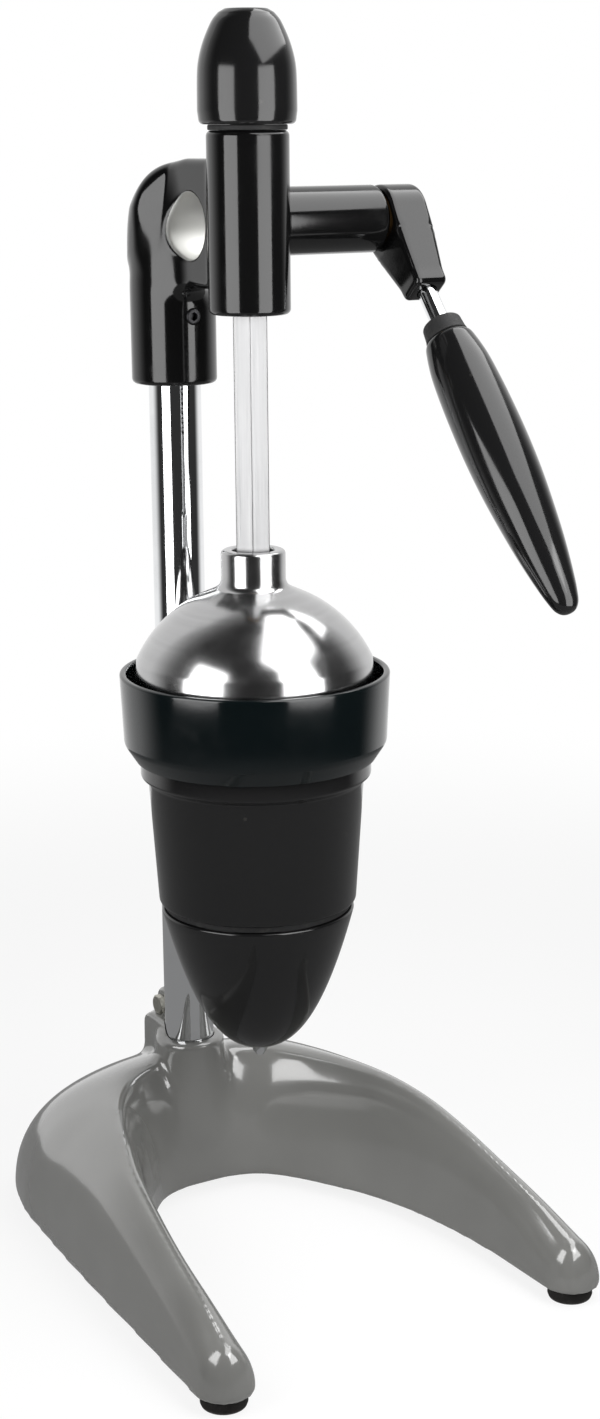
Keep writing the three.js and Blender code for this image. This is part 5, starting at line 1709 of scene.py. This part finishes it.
class PRESS_OT_strainer(bpy.types.Operator):
    """Presses the strainer cone and pierces it"""

    bl_idname = "press.strainer"
    bl_label = "Strainer"

    def execute(self, context):
        sizes = context.scene.press_sizes
        node = "strainer"
        brim_low, peak = heights(node)
        brim_top = peak - sizes.cone_height
        rim = half_depth(node)
        wall = brim_top - brim_low
        foot = half_depth("press_dome") - sizes.skirt_flare - sizes.dome_wall - sizes.cone_gap

        def cone(radius, height):
            turns = np.linspace(0, math.pi / 2, 33)
            return [(radius * max(0.0, math.cos(turn)) ** CONE_SLENDERNESS,
                     height + sizes.cone_height * math.sin(turn)) for turn in turns]

        outside, inside = cone(foot, brim_top), cone(foot - wall, brim_low)
        hat = turned("strainer_cone", [
            (0, inside[-1][1]), *inside[-2::-1],
            *softened([(foot, brim_low), (rim, brim_low, PLAIN_EDGE), (rim, brim_top, PLAIN_EDGE),
                       (foot + 1 * MM, brim_top)]),
            *outside[1:-1], (0, outside[-1][1]),
        ], sizes.sides)
        holes = []
        for row in range(sizes.cone_rows):
            part = CONE_FIRST_ROW - CONE_ROW_STEP * row
            distance, count = foot * part, round(sizes.cone_holes * part)
            for step in range(count):
                turn = (step + row / 2) / count * 2 * math.pi
                spot = (distance * math.cos(turn), distance * math.sin(turn), 0)
                holes.append(bar("hole", sizes.cone_hole, brim_low - wall, peak + wall,
                                 HOLE_SIDES, spot))
        combined(hat, [joined("holes", holes)])
        seated(hat, node, CAST_CORNER)
        return {"FINISHED"}


class PRESS_OT_funnel(bpy.types.Operator):
    """Turns the funnel under the cup, the seal in the groove and the spout"""

    bl_idname = "press.funnel"
    bl_label = "Funnel and spout"

    def execute(self, context):
        sizes = context.scene.press_sizes
        top = low("joint_seal").z - sizes.clearance
        bottom, spigot_top = heights("funnel")
        radius, wall = half_depth("funnel"), sizes.funnel_wall
        spigot = cup_bottom_radius(sizes) - sizes.cup_wall - sizes.clearance

        def bullet(widest, foot, steps):
            parts = (np.arange(steps + 1) / steps) ** FUNNEL_SPACING
            return [(widest * part ** FUNNEL_FULLNESS, foot + (top - foot) * part)
                    for part in parts]

        outside = bullet(radius, bottom, 60)
        inside = [point for point in bullet(radius - wall, bottom + wall, 40)
                  if point[0] < spigot - wall]
        brim = softened([outside[-3], (radius, top, sizes.funnel_edge), (spigot, top)])
        shell = turned("funnel_shell", [
            *outside[:-3], *brim,
            *softened([(spigot, top + 1 * MM), (spigot, spigot_top, PLAIN_EDGE),
                       (spigot - wall, spigot_top, PLAIN_EDGE), (spigot - wall, top + 2 * MM)]),
            *inside[::-1],
        ], sizes.sides)
        stem = sizes.spout_stem + sizes.clearance
        combined(shell, [
            bar("hole", stem, bottom - SPARE, bottom + sizes.spout_seat, sizes.small_sides),
        ])
        seated(shell, "funnel", TURNED_CORNER)

        seal = "joint_seal"
        bore = spigot + sizes.clearance
        rim = bore + SEAL_SHARE * (half_depth(seal) - bore)
        seated(washer("seal_ring", bore, rim, *heights(seal), sizes.sides, edge=FINE_EDGE), seal)

        spout = "spout_nozzle"
        tip, crown = heights(spout)
        shoulder, wide = bottom - sizes.clearance, half_depth(spout)
        skin = flowing([(0.5 * wide, tip), (0.78 * wide, tip + 0.35 * (shoulder - tip)),
                        (0.95 * wide, tip + 0.7 * (shoulder - tip)), (wide, shoulder)], 6)
        drop = turned("spout", [
            (sizes.spout_bore, tip), *skin, (sizes.spout_stem, shoulder), (sizes.spout_stem, crown),
            (sizes.spout_bore, crown), (sizes.spout_bore, tip),
        ], sizes.small_sides)
        seated(drop, spout)
        return {"FINISHED"}


# Bolts, nuts and screws

def chamfered(piece, across, start, end, centre):
    """Turns the corners of a hexagonal head or nut off at both ends, along the press's width."""
    corner = across / 2 / math.cos(math.pi / 6)
    cut_back = (corner - across / 2) * 0.6
    face = across / 2 * 0.96
    tool = turned("chamfer", [
        (0, start), (face, start), (corner, start + cut_back), (corner, end - cut_back),
        (face, end), (0, end),
    ], 48, centre, ACROSS, BACK)
    return combined(piece, [tool], "INTERSECT")


def hex_bolt(name, node, sizes):
    """Chamfered hexagonal head with its shank, along the press's width."""
    centre, (start, end) = side_spot(node), widths(node)
    head = prism(name, 6, sizes.bolt_across, start, start + sizes.bolt_head, ACROSS, 0, centre)
    chamfered(head, sizes.bolt_across, start, start + sizes.bolt_head, centre)
    shank = turned("shank", softened([
        (0, start + sizes.bolt_head / 2), (sizes.bolt_radius, start + sizes.bolt_head / 2),
        (sizes.bolt_radius, end, PLAIN_EDGE), (0, end),
    ]), sizes.small_sides, centre, ACROSS, BACK)
    combined(head, [shank], "UNION")
    seated(head, node, HEX_CORNER)


def hex_nut(name, node, sizes):
    centre, (start, end) = side_spot(node), widths(node)
    nut = prism(name, 6, sizes.bolt_across, start, end, ACROSS, 0, centre)
    chamfered(nut, sizes.bolt_across, start, end, centre)
    hole = sizes.bolt_radius + sizes.clearance
    combined(nut, [
        bar("hole", hole, start - hole, end + hole, sizes.small_sides, centre, ACROSS),
    ])
    seated(nut, node, HEX_CORNER)


class PRESS_OT_hardware(bpy.types.Operator):
    """Makes the clamp bolts and nuts, the set screws and the screw and washer of the hub"""

    bl_idname = "press.hardware"
    bl_label = "Bolts and screws"

    def execute(self, context):
        sizes = context.scene.press_sizes
        hex_bolt("pinch_bolt", "base_pinch_bolt", sizes)
        hex_nut("pinch_nut", "base_pinch_nut", sizes)
        hex_bolt("clamp_bolt", "holder_clamp_bolt", sizes)
        hex_nut("clamp_nut", "holder_clamp_nut", sizes)
        around = sizes.small_sides

        node = "head_set_screw"
        place = Vector((0, low(node).y, middle(node).z))
        screw = bar("column_set_screw", sizes.set_screw, 0, high(node).y - low(node).y, around,
                    place, BACK, UP, 0.6 * MM)
        socket = prism("socket", 6, sizes.set_screw_socket, -1 * MM, sizes.set_screw_depth, BACK,
                       centre=place)
        combined(screw, [socket])
        seated(screw, node, FLAT_CORNER)

        node = "rod_set_screw"
        place = Vector((low(node).x, middle(node).y, middle(node).z))
        reach = high(node).x - low(node).x
        screw = bar("lever_set_screw", half_along_lever(node), 0, reach, around, place, ACROSS,
                    edge=FINE_EDGE)
        socket = prism("socket", 6, 2.5 * MM, reach - 2 * MM, reach + 1 * MM, ACROSS, centre=place)
        combined(screw, [socket])
        seated(screw, node, FLAT_CORNER)

        node = "hub_screw"
        radius, top = half_depth(node), high(node).x
        head = low("hub_washer").x + sizes.washer_height + sizes.clearance
        screw = turned("shaft_screw", softened([
            (0, low(node).x), (sizes.bolt_radius, low(node).x, FINE_EDGE),
            (sizes.bolt_radius, head), (radius, head, 0.3 * MM), (radius, top, 0.9 * MM), (0, top),
        ]), around, PIVOT, ACROSS, BACK)
        socket = prism("socket", 6, 3 * MM, top - 1.6 * MM, top + 1 * MM, ACROSS, centre=PIVOT)
        combined(screw, [socket])
        seated(screw, node, FLAT_CORNER)

        node = "hub_washer"
        seated(washer("shaft_washer", sizes.bolt_radius + sizes.clearance, half_depth(node),
                      *widths(node), around, PIVOT, ACROSS, 0.25 * MM), node)
        return {"FINISHED"}


class PRESS_OT_bushes(bpy.types.Operator):
    """Turns the bushes and washers whose faces show, and finishes the solids kept inside"""

    bl_idname = "press.bushes"
    bl_label = "Bushes and inner pieces"

    def execute(self, context):
        sizes = context.scene.press_sizes
        for node in ("lower_guide_bush", "upper_guide_bush"):
            bottom, top = heights(node)
            bush = bar(f"bronze_{node}", half_depth(node), bottom, top, sizes.small_sides,
                       edge=FINE_EDGE)
            combined(bush, [prism("hexagon", 6, sizes.bar_across + 2 * sizes.clearance,
                                  bottom - SPARE, top + SPARE, turn=math.pi / 6)])
            seated(bush, node, FLAT_CORNER)
        node = "thrust_washer"
        seated(washer("bronze_washer", sizes.thrust_bore, half_depth(node), *widths(node),
                      sizes.small_sides, PIVOT, ACROSS), node)
        for name, piece in frame["nodes"].items():
            if not piece.hide_render:
                piece.data.materials.clear()
                piece.data.materials.append(finish_of(slot_of(name)))
        return {"FINISHED"}


# Stage

PAPER = (0.9, 0.9, 0.9, 1)
WHITE = (1, 1, 1, 1)
CLOTH_STEPS = 49
MAT_SIDES = 96


def panel_lamp(name, place, turn, width, height, glow):
    """Soft box that shines along its own -Z."""
    begin()
    bpy.ops.object.light_add(type="AREA", location=place, rotation=turn.to_euler())
    lamp = bpy.context.object
    lamp.name = name
    lamp.data.shape = "RECTANGLE"
    lamp.data.size, lamp.data.size_y = width, height
    lamp.data.energy = glow * math.pi * width * height
    lamp.visible_camera = False


def stage_material(name):
    material = bpy.data.materials.new(name)
    material.use_nodes = True
    material.node_tree.nodes.clear()
    output = material.node_tree.nodes.new("ShaderNodeOutputMaterial")
    return material, material.node_tree, output.inputs["Surface"]


def sharp_rays(tree):
    """One for what the camera sees straight on, in gloss or through glass, and zero for light."""
    rays = tree.nodes.new("ShaderNodeLightPath").outputs
    sharp = maths(tree, "MAXIMUM", rays["Is Camera Ray"], rays["Is Glossy Ray"])
    return maths(tree, "MAXIMUM", sharp, rays["Is Transmission Ray"])


class PRESS_OT_stage(bpy.types.Operator):
    """Sets the floor, the glowing cloth and mat that paint reflections, the soft boxes, the plain world and the
    camera
    """

    bl_idname = "press.stage"
    bl_label = "Stage"

    def execute(self, context):
        studio = context.scene.press_studio
        self.floor(studio)
        self.cloth(studio)
        self.lamps(studio)
        self.world(context.scene, studio)
        self.camera(context.scene, studio)
        context.scene.view_settings.view_transform = "Standard"
        return {"FINISHED"}

    def floor(self, studio):
        begin()
        bpy.ops.mesh.primitive_plane_add(size=studio.floor_size)
        floor = bpy.context.object
        floor.name = "floor"
        material, tree, surface = stage_material("white_floor")
        vector = tree.nodes.new("ShaderNodeTexCoord").outputs["Object"]
        away = wired(tree, "ShaderNodeVectorMath", {0: vector}, operation="LENGTH").outputs["Value"]
        shade = ranged(tree, away, studio.floor_near, studio.floor_far, studio.floor_shade, 0.0)
        lit = maths(tree, "SUBTRACT", 1.0, sharp_rays(tree))
        shade = maths(tree, "MAXIMUM", shade, lit)
        paper = wired(tree, "ShaderNodeBsdfDiffuse", {"Color": PAPER})
        white = wired(tree, "ShaderNodeEmission", {"Color": WHITE, "Strength": 1.0})
        mixed = wired(tree, "ShaderNodeMixShader", {
            0: shade, 1: white.outputs["Emission"], 2: paper.outputs["BSDF"],
        })
        tree.links.new(mixed.outputs["Shader"], surface)
        floor.data.materials.append(material)

    def cloth(self, studio):
        """Painted reflections: a dark glowing cloth round the press and a grey glowing mat under it, which only
        gloss sees.
        """
        start = studio.flag_behind + studio.flag_gap / 2
        turns = np.linspace(start, start + 2 * math.pi - studio.flag_gap, CLOTH_STEPS)
        cloth = drawn([Vector((math.cos(turn), math.sin(turn), 0)) * studio.flag_radius + UP * MM
                       for turn in turns])
        bpy.ops.mesh.select_all(action="SELECT")
        bpy.ops.mesh.extrude_region_move(
            TRANSFORM_OT_translate={"value": UP * studio.flag_height})
        bpy.ops.mesh.edge_face_add()
        bpy.ops.object.mode_set(mode="OBJECT")
        # The cloth glows paler toward its opening: a painted soft highlight in gloss
        opening = Vector((math.cos(studio.flag_behind), math.sin(studio.flag_behind), 0))
        self.unseen(cloth, "black_cloth", studio.flag_shade, opening, math.cos(studio.flag_gap / 2))
        begin()
        bpy.ops.mesh.primitive_circle_add(
            vertices=MAT_SIDES, radius=studio.flag_radius, fill_type="NGON", location=(0, 0, MM))
        self.unseen(bpy.context.object, "grey_mat", studio.mat_shade)

    def unseen(self, cloth, name, shade, opening=None, edge=1.0):
        """Hides a cloth from all rays but those of gloss, so that its glow is a painted reflection; it glows paler
        toward its opening, a painted soft highlight.
        """
        cloth.name = name
        material, tree, surface = stage_material(name)
        plain = wired(tree, "ShaderNodeEmission", {"Strength": shade})
        if opening:
            place = tree.nodes.new("ShaderNodeTexCoord").outputs["Object"]
            way = wired(tree, "ShaderNodeVectorMath", {0: place}, operation="NORMALIZE")
            toward = wired(tree, "ShaderNodeVectorMath", {
                0: way.outputs["Vector"], 1: opening,
            }, operation="DOT_PRODUCT").outputs["Value"]
            tree.links.new(ranged(tree, toward, 0.0, edge, shade, 1.0), plain.inputs["Strength"])
        tree.links.new(plain.outputs["Emission"], surface)
        cloth.data.materials.append(material)
        for rays in ("camera", "diffuse", "transmission", "volume_scatter", "shadow"):
            setattr(cloth, f"visible_{rays}", False)

    def lamps(self, studio):
        for name, round_press in (("left_soft_box", studio.lamp_left),
                                  ("right_soft_box", studio.lamp_right)):
            turn = Matrix.Rotation(round_press, 3, "Z") @ Matrix.Rotation(math.pi / 2, 3, "X")
            place = turn @ UP * studio.lamp_reach + UP * studio.lamp_rise
            panel_lamp(name, place, turn, studio.lamp_width, studio.lamp_height, studio.lamp_glow)
        tilt = Matrix.Rotation(studio.top_tilt, 3, "Y")
        turn = Matrix.Rotation(studio.camera_turn, 3, "Z") @ tilt
        panel_lamp("top_panel", studio.top_at, turn, studio.top_depth, studio.top_width,
                   studio.top_glow)

    def world(self, scene, studio):
        world = bpy.data.worlds.new("plain_white")
        scene.world = world
        world.use_nodes = True
        tree = world.node_tree
        background = next(node for node in tree.nodes if node.type == "BACKGROUND")
        background.inputs["Color"].default_value = WHITE
        strength = ranged(tree, sharp_rays(tree), 0.0, 1.0, studio.ambient, 1.0)
        tree.links.new(strength, background.inputs["Strength"])

    def camera(self, scene, studio):
        begin()
        bpy.ops.object.camera_add()
        camera = bpy.context.object
        turn = Matrix.Rotation(studio.camera_turn, 4, "Z")
        dip = Matrix.Rotation(math.pi / 2 - studio.camera_dip, 4, "X")
        roll = Matrix.Rotation(studio.camera_roll, 4, "Z")
        camera.matrix_world = Matrix.Translation(studio.camera_at) @ turn @ dip @ roll
        camera.data.lens = studio.camera_lens
        camera.data.shift_x, camera.data.shift_y = studio.camera_shift
        scene.camera = camera


class PRESS_PT_panel(bpy.types.Panel):
    """Lists the pieces of the press and its stage"""

    bl_idname = "PRESS_PT_panel"
    bl_label = "Citrus press"
    bl_space_type = "VIEW_3D"
    bl_region_type = "UI"
    bl_category = "Citrus press"

    def draw(self, context):
        for operator in OPERATORS:
            self.layout.operator(operator.bl_idname)
        for group in GROUPS:
            self.layout.label(text=group.replace("press_", "").capitalize())
            for name in GROUPS[group].__annotations__:
                self.layout.prop(getattr(context.scene, group), name)


GROUPS = {"press_sizes": PressSizes, "press_colours": PressColours, "press_studio": PressStudio}
OPERATORS = (
    PRESS_OT_base, PRESS_OT_feet, PRESS_OT_column, PRESS_OT_head, PRESS_OT_hub, PRESS_OT_grip,
    PRESS_OT_ram, PRESS_OT_knob, PRESS_OT_dome, PRESS_OT_ring, PRESS_OT_cup, PRESS_OT_strainer,
    PRESS_OT_funnel, PRESS_OT_hardware, PRESS_OT_bushes, PRESS_OT_stage,
)


def register():
    for made in (*GROUPS.values(), *OPERATORS, PRESS_PT_panel):
        bpy.utils.register_class(made)
    for name, group in GROUPS.items():
        setattr(bpy.types.Scene, name, PointerProperty(type=group))


def unregister():
    for name in GROUPS:
        delattr(bpy.types.Scene, name)
    for made in reversed((*GROUPS.values(), *OPERATORS, PRESS_PT_panel)):
        bpy.utils.unregister_class(made)


def main():
    register()
    for operator in OPERATORS:
        group, name = operator.bl_idname.split(".")
        getattr(getattr(bpy.ops, group), name)()


if __name__ == "__main__":
    main()
